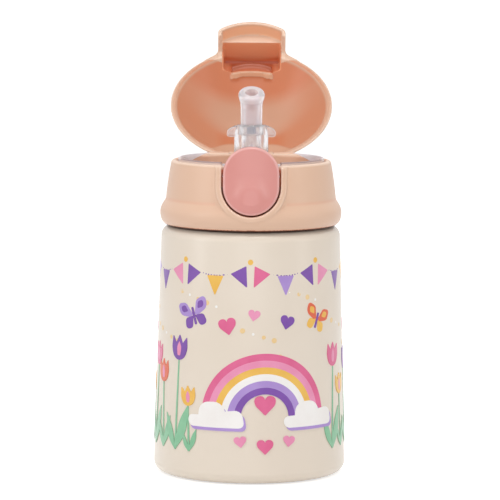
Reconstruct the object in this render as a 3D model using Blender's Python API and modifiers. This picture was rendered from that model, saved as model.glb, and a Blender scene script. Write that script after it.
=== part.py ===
"""Kids' vacuum straw bottle with a flip cover, built as separate jointed pieces.

Metres, +Z up, base centre at the origin, the push button faces -Y.
Lengths below are written in millimetres and scaled once, in the mesh helpers.
"""
import math

import bmesh
import bpy
from mathutils import Vector

MM = 0.001
PART_NAME = "kids_straw_bottle"

# Clearances
TOUCH_GAP = 0.3
RUN_GAP = 0.3
BORE_GAP = 0.3

# Bottle
SHELL_LOW_R = 38.2
SHELL_HIGH_R = 35.8
SHELL_WALL = 0.6
SHOULDER_Z = 99.8
SHOULDER_FILLET = 4.0
BASE_FILLET = 4.5
FOOT_Z = 0.4
FOOT_RING = 2.7
NECK_STEP = 8.8
NECK_HEIGHT = 13.9
VACUUM_GAP = 2.2
LINER_FLOOR_Z = 6.0
LIP_RISE = 0.6

# Lid
COLLAR_SEAM = 0.8
COLLAR_HEIGHT = 25.4
COLLAR_WALL = 4.9
COLLAR_FLARE = 4.3
COLLAR_BULGE_H = 10.3
COLLAR_CREASE = 2.2
RIDGE_PROUD = 1.3
SKIRT_WALL = 1.3
DECK_THICK = 2.0
RIM_SEAL_PROUD = 1.1

# Button
BUTTON_R = 11.3
BUTTON_STRAIGHT = 4.2
BUTTON_DROP = 7.9
BUTTON_THICK = 2.2
BUTTON_TILT = 0.1296
BUTTON_PROUD = 3.3
BUTTON_PIN_R = 0.8
BUTTON_PIN_IN = 2.9
BUTTON_PIN_DROP = 4.2
BUTTON_FOOT_GAP = 0.85
FRAME_BAND = 2.05
TOOTH_PROUD = 1.45

# Cover
COVER_OVER = 1.2
COVER_RIM = 2.3
COVER_HEIGHT = 22.0
COVER_ROOF = 1.8
COVER_OPEN_DEG = 140.0
HINGE_OVER = 0.1
HINGE_DROP = 1.2
KNUCKLE_R = 2.6
HINGE_PIN_R = 1.0
KNUCKLE_IN = 3.5
KNUCKLE_OUT = 9.0
EAR_OUT = 18.5
HOOD_HALF = 14.0
HOOD_OVER = 8.6
HOOD_BOW = 5.2
HOOD_SKIRT = 8.6
HOOD_WALL = 1.4
LEDGE_DROP = 2.5
LEDGE_OVER = 2.0
RECESS_HALF = 11.8
RECESS_ROOF = 8.2
CATCH_RISE = 4.5
CATCH_IN = 3.7
CATCH_DEEP = 6.9

# Spout and straw
SPOUT_R = 6.75
SPOUT_BORE_R = 4.4
SPOUT_RISE = 14.2
FLANGE_R = 13.0
EAR_BALL_R = 2.0
EAR_BALL_X = 7.8
TIP_R = 4.15
TIP_BORE_R = 2.4
TIP_BEAD_R = 5.2
TIP_LENGTH = 12.3
TIP_LEAN_DEG = 29.0
STRAW_R = 3.6
STRAW_WALL = 0.7
STRAW_FLOOR_GAP = 2.0
TAIL_DROP = 11.0
SLEEVE_UP = 6.0
SLEEVE_DOWN = 7.0
VENT_IN = 9.0

# Resolution
TURN_STEPS = 36
SMALL_STEPS = 20
TINY_STEPS = 12

# Derived radii and levels
NECK_R = SHELL_HIGH_R - NECK_STEP
VENT_Y = NECK_R - VENT_IN
COLLAR_TOP_R = NECK_R + COLLAR_WALL
COLLAR_BULGE_R = COLLAR_TOP_R + COLLAR_FLARE
COLLAR_CREASE_R = COLLAR_TOP_R + COLLAR_CREASE
COVER_R = COLLAR_TOP_R + COVER_OVER
HINGE_Y = COLLAR_TOP_R + HINGE_OVER
HOOD_FRONT = COVER_R + HOOD_OVER
HOOD_CORNER = HOOD_FRONT - HOOD_BOW
LEDGE_S = COVER_R + LEDGE_OVER
BUTTON_FACE_R = COLLAR_TOP_R + BUTTON_PROUD
BUTTON_PIN_Y = -(COLLAR_TOP_R - BUTTON_PIN_IN)
CUT_FAR = -(COLLAR_BULGE_R + 14.0)
CUT_NEAR = -0.5 * COLLAR_TOP_R
NECK_TOP_Z = SHOULDER_Z + NECK_HEIGHT
LIP_Z = NECK_TOP_Z + TOUCH_GAP + LIP_RISE
COLLAR_Z = SHOULDER_Z + COLLAR_SEAM
RIM_Z = COLLAR_Z + COLLAR_HEIGHT
COVER_Z = RIM_Z + TOUCH_GAP
HINGE_Z = COVER_Z - HINGE_DROP
SEAL_THICK = 2.2
SEAL_Z = LIP_Z + TOUCH_GAP
DECK_LOW_Z = SEAL_Z + SEAL_THICK + TOUCH_GAP
DECK_Z = DECK_LOW_Z + DECK_THICK
SKIRT_IN_R = NECK_R + TOUCH_GAP
SKIRT_OUT_R = SKIRT_IN_R + SKIRT_WALL
COLLAR_IN_R = SKIRT_OUT_R + TOUCH_GAP
COLLAR_TOP_IN_R = COLLAR_IN_R + 0.7
BUTTON_Z = RIM_Z - BUTTON_DROP
BUTTON_PIN_Z = RIM_Z - BUTTON_PIN_DROP
COVER_IN_R = COVER_R - COVER_RIM
COVER_IN_HEIGHT = COVER_HEIGHT - COVER_ROOF
SPOUT_TOP_Z = RIM_Z + SPOUT_RISE
FLANGE_Z = DECK_Z + TOUCH_GAP


def wipe() -> None:
    """Remove everything that a fresh scene holds."""
    for item in list(bpy.data.objects):
        bpy.data.objects.remove(item, do_unlink=True)
    for block in (bpy.data.meshes, bpy.data.curves, bpy.data.materials, bpy.data.collections):
        for item in list(block):
            block.remove(item)


wipe()
PARTS = bpy.data.collections.new(PART_NAME)
CUTTERS = bpy.data.collections.new("cutters")
bpy.context.scene.collection.children.link(PARTS)
bpy.context.scene.collection.children.link(CUTTERS)


def finish(name, colour, rough, metal=0.0, clear=0.0):
    """Make one Principled material."""
    mat = bpy.data.materials.new(name)
    mat.use_nodes = True
    shader = mat.node_tree.nodes["Principled BSDF"]
    shader.inputs["Base Color"].default_value = (*colour, 1.0)
    shader.inputs["Roughness"].default_value = rough
    shader.inputs["Metallic"].default_value = metal
    shader.inputs["Transmission Weight"].default_value = clear
    return mat


CREAM = finish("cream_paint", (0.78, 0.70, 0.61), 0.3)
STEEL = finish("bare_steel", (0.62, 0.62, 0.63), 0.28, 1.0)
GETTER = finish("getter_grey", (0.3, 0.3, 0.32), 0.6, 1.0)
PAD = finish("pad_silicone", (0.75, 0.66, 0.58), 0.7)
PEACH = finish("peach_plastic", (0.77, 0.53, 0.39), 0.42)
PINK = finish("pink_plastic", (0.74, 0.33, 0.30), 0.42)
MILKY = finish("milky_silicone", (0.80, 0.76, 0.76), 0.5, 0.0, 0.4)
CLEAR = finish("clear_plastic", (0.9, 0.9, 0.92), 0.08, 0.0, 0.9)
STRAW = finish("straw_plastic", (0.86, 0.86, 0.86), 0.35, 0.0, 0.4)
SPRING = finish("spring_steel", (0.5, 0.5, 0.52), 0.3, 1.0)


def place(obj, mat, parent=None, origin=(0.0, 0.0, 0.0)):
    """Put an object in the parts collection with its material, smooth shaded."""
    PARTS.objects.link(obj)
    dress(obj, mat, parent, origin)


def hide(obj, mat=None, parent=None, origin=(0.0, 0.0, 0.0)):
    """Put an object in the cutters collection, unseen in renders."""
    CUTTERS.objects.link(obj)
    obj.hide_render = True
    obj.display_type = "WIRE"
    dress(obj, mat, parent, origin)


def dress(obj, mat, parent, origin):
    """Set material, parent and shading."""
    if mat is not None:
        obj.data.materials.append(mat)
    if parent is not None:
        obj.parent = parent
    obj.location = Vector(origin) * MM
    for face in obj.data.polygons:
        face.use_smooth = True


def turned(name, profile, closed, steps=TURN_STEPS):
    """Turn a profile of (radius, height) points about Z with a Screw modifier.

    Args:
        name: object name.
        profile: points that run down the outer side, millimetres.
        closed: True for a ring, False for a chain that ends on the axis.
        steps: turns of the Screw modifier.

    Returns:
        The unlinked object.
    """
    mesh = bpy.data.meshes.new(name)
    points = [(r * MM, 0.0, z * MM) for r, z in profile]
    edges = [(i, i + 1) for i in range(len(points) - 1)]
    if closed:
        edges.append((len(points) - 1, 0))
    mesh.from_pydata(points, edges, [])
    obj = bpy.data.objects.new(name, mesh)
    screw = obj.modifiers.new("turn", "SCREW")
    screw.axis = "Z"
    screw.steps = steps
    screw.render_steps = steps
    screw.use_merge_vertices = True
    screw.merge_threshold = 0.00002
    screw.use_normal_calculate = False
    screw.use_smooth_shade = True
    return obj


def solid(name, bm):
    """Close a bmesh into a named object with its faces turned outward."""
    bmesh.ops.recalc_face_normals(bm, faces=bm.faces)
    mesh = bpy.data.meshes.new(name)
    bm.to_mesh(mesh)
    bm.free()
    return bpy.data.objects.new(name, mesh)


def prism(name, outline, plane, low, high):
    """Extrude a flat outline between two levels.

    Args:
        name: object name.
        outline: points in the plane, millimetres, in order.
        plane: "XY", "XZ" or "YZ".
        low: lower level along the third axis.
        high: upper level along the third axis.

    Returns:
        The unlinked object.
    """
    def corner(point, level):
        if plane == "XY":
            return (point[0] * MM, point[1] * MM, level * MM)
        if plane == "XZ":
            return (point[0] * MM, level * MM, point[1] * MM)
        return (level * MM, point[0] * MM, point[1] * MM)

    bm = bmesh.new()
    bottom = [bm.verts.new(corner(p, low)) for p in outline]
    top = [bm.verts.new(corner(p, high)) for p in outline]
    count = len(outline)
    bm.faces.new(bottom)
    bm.faces.new(top)
    for i in range(count):
        j = (i + 1) % count
        bm.faces.new((bottom[i], bottom[j], top[j], top[i]))
    return solid(name, bm)


def box(name, low, high):
    """Make a box between two corners."""
    outline = [(low[0], low[1]), (high[0], low[1]), (high[0], high[1]), (low[0], high[1])]
    return prism(name, outline, "XY", low[2], high[2])


def rod(name, radius, low_x, high_x, y, z, sides=SMALL_STEPS):
    """Make a cylinder along X."""
    outline = [
        (y + radius * math.cos(math.tau * i / sides), z + radius * math.sin(math.tau * i / sides))
        for i in range(sides)
    ]
    return prism(name, outline, "YZ", low_x, high_x)


def post(name, radius, low_z, high_z, sides=TURN_STEPS):
    """Make a cylinder along Z on the axis."""
    outline = [
        (radius * math.cos(math.tau * i / sides), radius * math.sin(math.tau * i / sides))
        for i in range(sides)
    ]
    return prism(name, outline, "XY", low_z, high_z)


def ball(name, radius, centre, sides=SMALL_STEPS):
    """Make a sphere."""
    bm = bmesh.new()
    bmesh.ops.create_uvsphere(bm, u_segments=sides, v_segments=sides // 2, radius=radius * MM)
    bmesh.ops.translate(bm, verts=bm.verts, vec=Vector(centre) * MM)
    return solid(name, bm)


def cut(target, other, operation="DIFFERENCE"):
    """Add an exact Boolean."""
    mod = target.modifiers.new(other.name, "BOOLEAN")
    mod.operation = operation
    mod.solver = "EXACT"
    mod.object = other


def arc(cx, cz, radius, start, end, count):
    """List points on an arc, angles in degrees."""
    points = []
    for i in range(count + 1):
        angle = math.radians(start + (end - start) * i / count)
        points.append((cx + radius * math.cos(angle), cz + radius * math.sin(angle)))
    return points


def tube(name, path, outer, inner, sides):
    """Loft a hollow tube along a path in the YZ plane.

    Args:
        name: object name.
        path: list of (y, z, lean) with the lean from +Z towards -Y in radians.
        outer: outer radius at each point.
        inner: inner radius at each point.
        sides: points round the tube.

    Returns:
        The unlinked object.
    """
    bm = bmesh.new()

    def ring(station, radius):
        y, z, lean = station
        verts = []
        for i in range(sides):
            angle = math.tau * i / sides
            across = radius * math.sin(angle)
            point = (
                radius * math.cos(angle) * MM,
                (y + across * math.cos(lean)) * MM,
                (z + across * math.sin(lean)) * MM,
            )
            verts.append(bm.verts.new(point))
        return verts

    rings = [ring(s, r) for s, r in zip(path, outer)]
    rings += [ring(s, r) for s, r in zip(reversed(path), reversed(inner))]
    count = len(rings)
    for k in range(count):
        a = rings[k]
        b = rings[(k + 1) % count]
        for i in range(sides):
            j = (i + 1) % sides
            bm.faces.new((a[i], a[j], b[j], b[i]))
    return solid(name, bm)


def spring(name, points, wire):
    """Make a coil of wire from a list of points, and print its least gap to itself."""
    curve = bpy.data.curves.new(name, "CURVE")
    curve.dimensions = "3D"
    curve.bevel_depth = wire * 0.5 * MM
    curve.bevel_resolution = 1
    curve.use_fill_caps = True
    line = curve.splines.new("POLY")
    line.points.add(len(points) - 1)
    for knot, point in zip(line.points, points):
        knot.co = (*(Vector(point) * MM), 1.0)
    maker = bpy.data.objects.new(name + "_curve", curve)
    bpy.context.scene.collection.objects.link(maker)
    bpy.context.view_layer.update()
    mesh = bpy.data.meshes.new_from_object(maker.evaluated_get(bpy.context.evaluated_depsgraph_get()))
    bpy.data.objects.remove(maker, do_unlink=True)
    bpy.data.curves.remove(curve)
    mesh.name = name
    bm = bmesh.new()
    bm.from_mesh(mesh)
    bmesh.ops.remove_doubles(bm, verts=bm.verts, dist=0.000001)
    bmesh.ops.recalc_face_normals(bm, faces=bm.faces)
    bm.to_mesh(mesh)
    bm.free()
    mesh.materials.clear()
    least = 1000.0
    for i, first in enumerate(points):
        for second in points[i + 5:]:
            least = min(least, (Vector(first) - Vector(second)).length - wire)
    print(name, "least gap to itself", round(least, 3), "mm")
    return bpy.data.objects.new(name, mesh)


def pivot(name, y, z):
    """Make a parent empty on a joint axis."""
    empty = bpy.data.objects.new(name, None)
    empty.empty_display_size = 0.01
    empty.location = (0.0, y * MM, z * MM)
    PARTS.objects.link(empty)
    return empty


def stadium(radius, low_z, high_z, count=12):
    """Outline an upright stadium in XZ."""
    return arc(0.0, high_z, radius, 0.0, 180.0, count) + arc(0.0, low_z, radius, 180.0, 360.0, count)


def shell_radius(z):
    """Radius of the shell's straight side at a height."""
    low_z = FOOT_Z + BASE_FILLET + 4.0
    high_z = SHOULDER_Z - SHOULDER_FILLET
    share = (z - low_z) / (high_z - low_z)
    return SHELL_LOW_R + (SHELL_HIGH_R - SHELL_LOW_R) * share


# Bottle
def build_bottle():
    """Build the vacuum flask: shell, liner, pan, getter and pad."""
    w = SHELL_WALL
    fillet_r = SHELL_HIGH_R - SHOULDER_FILLET
    fillet_z = SHOULDER_Z - SHOULDER_FILLET
    foot_r = SHELL_LOW_R - BASE_FILLET
    foot_z = FOOT_Z + BASE_FILLET
    flange_r = foot_r - FOOT_RING
    outer = [(NECK_R, NECK_TOP_Z), (NECK_R, SHOULDER_Z + 1.5), (NECK_R + 0.4, SHOULDER_Z + 0.4)]
    outer += [(NECK_R + 1.3, SHOULDER_Z)]
    outer += arc(fillet_r, fillet_z, SHOULDER_FILLET, 90.0, 0.0, 4)
    outer += [(shell_radius(52.0), 52.0), (SHELL_LOW_R, foot_z + 4.0)]
    outer += arc(foot_r, foot_z, BASE_FILLET, 0.0, -90.0, 5)
    outer += [(flange_r + 0.6, FOOT_Z), (flange_r, FOOT_Z + 0.6), (flange_r, FOOT_Z + 3.6)]
    hem_r = flange_r + w
    inner = [(hem_r, FOOT_Z + 3.6), (hem_r, FOOT_Z + w + 0.4), (hem_r + 0.4, FOOT_Z + w)]
    inner += arc(foot_r, foot_z, BASE_FILLET - w, -90.0, 0.0, 3)
    inner += [(SHELL_LOW_R - w, foot_z + 4.0)]
    inner += arc(fillet_r, fillet_z, SHOULDER_FILLET - w, 0.0, 90.0, 3)
    inner += [(NECK_R + 1.0, SHOULDER_Z - w), (NECK_R - w + 0.3, SHOULDER_Z), (NECK_R - w, SHOULDER_Z + 1.2)]
    inner += [(NECK_R - w, NECK_TOP_Z)]
    place(turned("outer_shell", outer + inner, True), CREAM)

    pan_r = flange_r - TOUCH_GAP
    pan_z = FOOT_Z + 1.2
    pan = [(0.0, pan_z + w), (pan_r, pan_z + w), (pan_r, pan_z), (0.0, pan_z)]
    place(turned("base_pan", pan, False), STEEL)
    pad_top = pan_z - TOUCH_GAP
    pad = [(0.0, pad_top), (pan_r, pad_top), (pan_r, 0.4), (pan_r - 0.4, 0.0), (0.0, 0.0)]
    place(turned("base_pad", pad, False), PAD)
    getter_z = pan_z + w + TOUCH_GAP
    getter_top = getter_z + 1.8
    getter = [(0.0, getter_top), (4.6, getter_top), (5.0, getter_top - 0.4), (5.0, getter_z), (0.0, getter_z)]
    place(turned("vacuum_getter", getter, False, SMALL_STEPS), GETTER)

    neck_out = NECK_R - w - TOUCH_GAP
    neck_in = neck_out - w
    high_r = SHELL_HIGH_R - w - VACUUM_GAP
    low_r = SHELL_LOW_R - w - VACUUM_GAP
    turn_r = 3.3
    turn_z = SHOULDER_Z - w - 1.0 - turn_r
    floor_r = 6.0
    lip_low = NECK_TOP_Z + TOUCH_GAP
    cup_in = [(0.0, LINER_FLOOR_Z + w)]
    cup_in += arc(low_r - floor_r, LINER_FLOOR_Z + floor_r, floor_r - w, -90.0, 0.0, 3)
    cup_in += arc(high_r - turn_r, turn_z, turn_r - w, 0.0, 90.0, 3)
    cup_in += [(neck_in + 1.4, turn_z + turn_r - w + 0.2), (neck_in, turn_z + turn_r + 1.4)]
    cup_in += [(neck_in, LIP_Z - 0.2), (neck_in + 0.2, LIP_Z)]
    cup_out = [(NECK_R - 0.2, LIP_Z), (NECK_R, LIP_Z - 0.2), (NECK_R, lip_low), (neck_out, lip_low)]
    cup_out += [(neck_out, turn_z + turn_r + 1.8), (neck_out + 1.2, turn_z + turn_r)]
    cup_out += arc(high_r - turn_r, turn_z, turn_r, 90.0, 0.0, 3)
    cup_out += arc(low_r - floor_r, LINER_FLOOR_Z + floor_r, floor_r, 0.0, -90.0, 3)
    cup_out += [(0.0, LINER_FLOOR_Z)]
    place(turned("inner_liner", cup_in + cup_out, False), STEEL)


def collar_outside():
    """Profile of the collar's outer side from the rim down."""
    z = COLLAR_Z
    top = RIM_Z
    span = COLLAR_CREASE_R - COLLAR_TOP_R
    bulge = COLLAR_BULGE_R
    h = COLLAR_BULGE_H
    side = [(COLLAR_TOP_R - 0.9, top), (COLLAR_TOP_R - 0.3, top - 0.3), (COLLAR_TOP_R, top - 0.9)]
    for share, bow in ((0.26, 0.1), (0.5, 0.25), (0.76, 0.2)):
        side.append((COLLAR_TOP_R + span * share + bow, top - share * (COLLAR_HEIGHT - h)))
    side += [(COLLAR_CREASE_R, z + h), (COLLAR_CREASE_R + 0.5, z + h * 0.88)]
    side += [(bulge - 0.75, z + h * 0.72), (bulge - 0.12, z + h * 0.56), (bulge, z + h * 0.43)]
    side += [(bulge - 0.1, z + h * 0.29), (bulge - 0.6, z + h * 0.165), (bulge - 1.5, z + h * 0.06)]
    side += [(bulge - 2.6, z)]
    return side


def ridge_outside(extra=0.0):
    """Profile of the button frame's front side from the rim down."""
    top_r = COLLAR_TOP_R + RIDGE_PROUD + 0.3 + extra
    mid_r = COLLAR_CREASE_R + RIDGE_PROUD + 0.6 + extra
    low_r = COLLAR_BULGE_R + 0.7 + extra
    crease_z = COLLAR_Z + COLLAR_BULGE_H
    return [(top_r, RIM_Z), (mid_r, crease_z + 1.0), (low_r, COLLAR_Z + 4.4), (low_r, COLLAR_Z)]


# Lid
def build_collar():
    """Build the collar with its button frame, pocket and hinge ears."""
    inside = [(COLLAR_IN_R + 0.5, COLLAR_Z), (COLLAR_IN_R, COLLAR_Z + 0.5), (COLLAR_IN_R, DECK_Z)]
    inside += [(COLLAR_TOP_IN_R, DECK_Z), (COLLAR_TOP_IN_R, RIM_Z - 0.4), (COLLAR_TOP_IN_R + 0.4, RIM_Z)]
    collar = turned("lid_collar", collar_outside() + inside, True)
    place(collar, PEACH)

    low_z = BUTTON_Z
    pocket_r = BUTTON_R + RUN_GAP + 0.15
    band_r = pocket_r + FRAME_BAND
    blank = ridge_outside() + [(COLLAR_IN_R + 1.2, COLLAR_Z), (COLLAR_IN_R + 1.2, RIM_Z)]
    frame = turned("frame_blank", blank, True)
    hide(frame, PEACH)
    u_top = RIM_Z - 0.2
    u_shape = [(band_r, u_top), (-band_r, u_top)] + arc(0.0, low_z, band_r, 180.0, 360.0, 16)
    u_prism = prism("frame_shape", u_shape, "XZ", CUT_FAR, CUT_NEAR)
    hide(u_prism)
    cut(frame, u_prism, "INTERSECT")
    cut(collar, frame, "UNION")

    ear_block(collar)

    pocket_low = low_z - BUTTON_FOOT_GAP + (pocket_r - BUTTON_R)
    pocket = prism("pocket", stadium(pocket_r, pocket_low, RIM_Z + 12.0), "XZ", CUT_FAR, CUT_NEAR)
    floor = post("pocket_floor", COLLAR_IN_R + 0.9, COLLAR_Z - 6.0, DECK_Z - 0.8)
    hide(pocket)
    hide(floor)
    cut(pocket, floor)
    cut(collar, pocket)
    bore_x = pocket_r + 1.7
    bore_r = BUTTON_PIN_R + BORE_GAP
    bore = rod("button_pin_bore", bore_r, -bore_x, bore_x, BUTTON_PIN_Y, BUTTON_PIN_Z, TINY_STEPS)
    hide(bore)
    cut(collar, bore)


def ear_block(collar):
    """Add the rear hinge ears to the collar and cut the knuckle slot."""
    y = HINGE_Y
    z = HINGE_Z
    r = KNUCKLE_R
    side = arc(y, z, r, 0.0, 180.0, 10)
    back = y - 12.0
    low = z - 9.0
    side += [(y - r, RIM_Z - 0.15), (back, RIM_Z - 0.15), (back, low), (y - 1.6, low), (y + r, low + 5.4)]
    ears = prism("ear_block", side, "YZ", -EAR_OUT, EAR_OUT)
    hide(ears, PEACH)
    for sign in (-1.0, 1.0):
        near = sign * (EAR_OUT - 1.6)
        far = sign * (EAR_OUT + 3.0)
        slope = [(near, z + 6.0), (far, z + 6.0), (far, z + 0.2), (sign * (EAR_OUT + 0.1), z + 0.2)]
        wedge = prism("ear_end_%d" % (sign > 0), slope, "XZ", y - r - 4.0, y + r + 4.0)
        hide(wedge)
        cut(ears, wedge)
    hollow = post("ear_hollow", COLLAR_TOP_IN_R + 0.01, COLLAR_Z, RIM_Z + 9.0)
    hide(hollow)
    cut(ears, hollow)
    cut(collar, ears, "UNION")
    slot_x = KNUCKLE_OUT + RUN_GAP
    slot = rod("knuckle_slot", r + 0.5, -slot_x, slot_x, y, z)
    hide(slot)
    cut(collar, slot)
    opening = box("knuckle_back", (-slot_x, y, z - r - 0.6), (slot_x, y + 9.0, z + 9.0))
    hide(opening)
    cut(collar, opening)
    bore = rod("hinge_bore", HINGE_PIN_R + BORE_GAP, -EAR_OUT + 0.8, EAR_OUT - 0.8, y, z, TINY_STEPS)
    hide(bore)
    cut(collar, bore)


def build_core():
    """Build the inner lid, its seals and the air valve."""
    hole_r = SPOUT_R + TOUCH_GAP
    groove_r = hole_r + 2.2
    groove_z = DECK_Z - 1.0
    profile = [(hole_r, groove_z), (groove_r, groove_z), (groove_r, DECK_Z)]
    profile += [(SKIRT_OUT_R - 0.4, DECK_Z), (SKIRT_OUT_R, DECK_Z - 0.4), (SKIRT_OUT_R, COLLAR_Z + 1.4)]
    profile += [(SKIRT_IN_R, COLLAR_Z + 1.4), (SKIRT_IN_R, DECK_LOW_Z), (hole_r, DECK_LOW_Z)]
    core = turned("lid_core", profile, True)
    place(core, PEACH)
    vent = post("vent_hole", 1.5, DECK_LOW_Z - 3.0, DECK_Z + 3.0, TINY_STEPS)
    hide(vent, None, None, (0.0, VENT_Y, 0.0))
    cut(core, vent)

    seal_out = SKIRT_IN_R - TOUCH_GAP
    seal_in = NECK_R - 2.4
    top = SEAL_Z + SEAL_THICK
    seal = [(seal_in, top), (seal_out, top), (seal_out, SEAL_Z), (seal_in, SEAL_Z)]
    place(turned("lid_seal", seal, True), MILKY)

    ring_r = groove_r - 1.0
    oring = arc(ring_r, DECK_Z - 0.25, 0.5, 180.0, -180.0, 6)[:-1]
    place(turned("spout_seal", oring, True, SMALL_STEPS), MILKY)

    rim_out = COLLAR_TOP_IN_R - 0.4
    rim_in = rim_out - 1.3
    rim_low = FLANGE_Z
    rim_top = RIM_Z + RIM_SEAL_PROUD
    ring = [(rim_in, rim_top - 0.3), (rim_in + 0.3, rim_top), (rim_out - 0.3, rim_top)]
    ring += [(rim_out, rim_top - 0.3), (rim_out, rim_low), (rim_in, rim_low)]
    rim = turned("rim_seal", ring, True)
    place(rim, MILKY)
    gap_x = BUTTON_R + 1.2
    front = box("seal_front", (-gap_x, CUT_FAR, rim_low - 5.0), (gap_x, CUT_NEAR, rim_top + 5.0))
    hide(front)
    cut(rim, front)
    rear_x = EAR_OUT + 0.6
    rear = box("seal_rear", (-rear_x, -CUT_NEAR, rim_low + 1.3), (rear_x, -CUT_FAR, rim_top + 5.0))
    hide(rear)
    cut(rim, rear)

    cap_z = DECK_Z + TOUCH_GAP
    bulb_z = DECK_LOW_Z - TOUCH_GAP
    valve = [(0.0, cap_z + 1.0), (2.2, cap_z + 0.8), (3.2, cap_z + 0.25), (3.2, cap_z), (1.2, cap_z)]
    valve += [(1.2, bulb_z), (2.0, bulb_z), (2.0, bulb_z - 0.7), (0.9, bulb_z - 2.4), (0.0, bulb_z - 2.4)]
    place(turned("vent_valve", valve, False, TINY_STEPS), MILKY, None, (0.0, VENT_Y, 0.0))


def build_spout():
    """Build the clear spout, the soft tip, the coupling and the straw."""
    top = SPOUT_TOP_Z
    tail_r = SPOUT_R - 2.2
    tail_z = DECK_LOW_Z - TAIL_DROP
    seat_z = top - 7.0
    bore_r = TIP_BORE_R + 0.4
    profile = [(SPOUT_BORE_R, top), (SPOUT_R - 0.7, top), (SPOUT_R - 0.2, top - 0.2), (SPOUT_R, top - 0.7)]
    profile += [(SPOUT_R, FLANGE_Z + 2.2), (SPOUT_R + 0.8, FLANGE_Z + 1.4), (FLANGE_R - 0.4, FLANGE_Z + 1.4)]
    profile += [(FLANGE_R, FLANGE_Z + 1.0), (FLANGE_R, FLANGE_Z), (SPOUT_R, FLANGE_Z)]
    profile += [(SPOUT_R, DECK_LOW_Z - 0.2), (tail_r, DECK_LOW_Z - 0.8), (tail_r, tail_z), (bore_r, tail_z)]
    profile += [(bore_r, seat_z), (SPOUT_BORE_R, seat_z)]
    spout = turned("spout_base", profile, True, SMALL_STEPS)
    place(spout, CLEAR)
    ear_z = top - 2.9
    for sign in (-1.0, 1.0):
        ear = ball("spout_ear_%d" % (sign > 0), EAR_BALL_R, (sign * EAR_BALL_X, 0.0, ear_z), TINY_STEPS)
        hide(ear, CLEAR)
        cut(spout, ear, "UNION")

    bend_z = top + 0.8
    lean = math.radians(TIP_LEAN_DEG)
    turn_r = TIP_LENGTH / lean
    path = [(0.0, seat_z + TOUCH_GAP, 0.0), (0.0, bend_z, 0.0)]
    outer = [TIP_R, TIP_R]
    inner = [TIP_BORE_R, TIP_BORE_R]
    stations = ((0.25, 0.0, 0.0), (0.5, 0.0, 0.0), (0.76, 0.0, 0.0), (0.82, 0.75, 0.0), (0.88, 1.0, 0.0))
    stations += ((0.96, 1.0, 0.0), (1.0, 0.55, 0.3))
    for share, bead, flare in stations:
        angle = lean * share
        path.append((-turn_r * (1.0 - math.cos(angle)), bend_z + turn_r * math.sin(angle), angle))
        outer.append(TIP_R + (TIP_BEAD_R - TIP_R) * bead)
        inner.append(TIP_BORE_R + flare)
    place(tube("mouthpiece", path, outer, inner, SMALL_STEPS), MILKY)

    meet_z = tail_z - TOUCH_GAP
    sleeve_r = tail_r + TOUCH_GAP + 1.2
    low_in = STRAW_R + TOUCH_GAP
    high_in = tail_r + TOUCH_GAP
    high_z = meet_z + SLEEVE_UP
    low_z = meet_z - SLEEVE_DOWN
    sleeve = [(high_in, high_z), (sleeve_r, high_z), (sleeve_r, low_z)]
    sleeve += [(low_in, low_z), (low_in, meet_z), (high_in, meet_z)]
    place(turned("straw_sleeve", sleeve, True, TINY_STEPS), MILKY)
    straw_top = meet_z - TOUCH_GAP
    straw_low = LINER_FLOOR_Z + SHELL_WALL + STRAW_FLOOR_GAP
    straw_in = STRAW_R - STRAW_WALL
    straw = [(straw_in, straw_top), (STRAW_R, straw_top), (STRAW_R, straw_low), (straw_in, straw_low)]
    place(turned("drinking_straw", straw, True, TINY_STEPS), STRAW)


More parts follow.
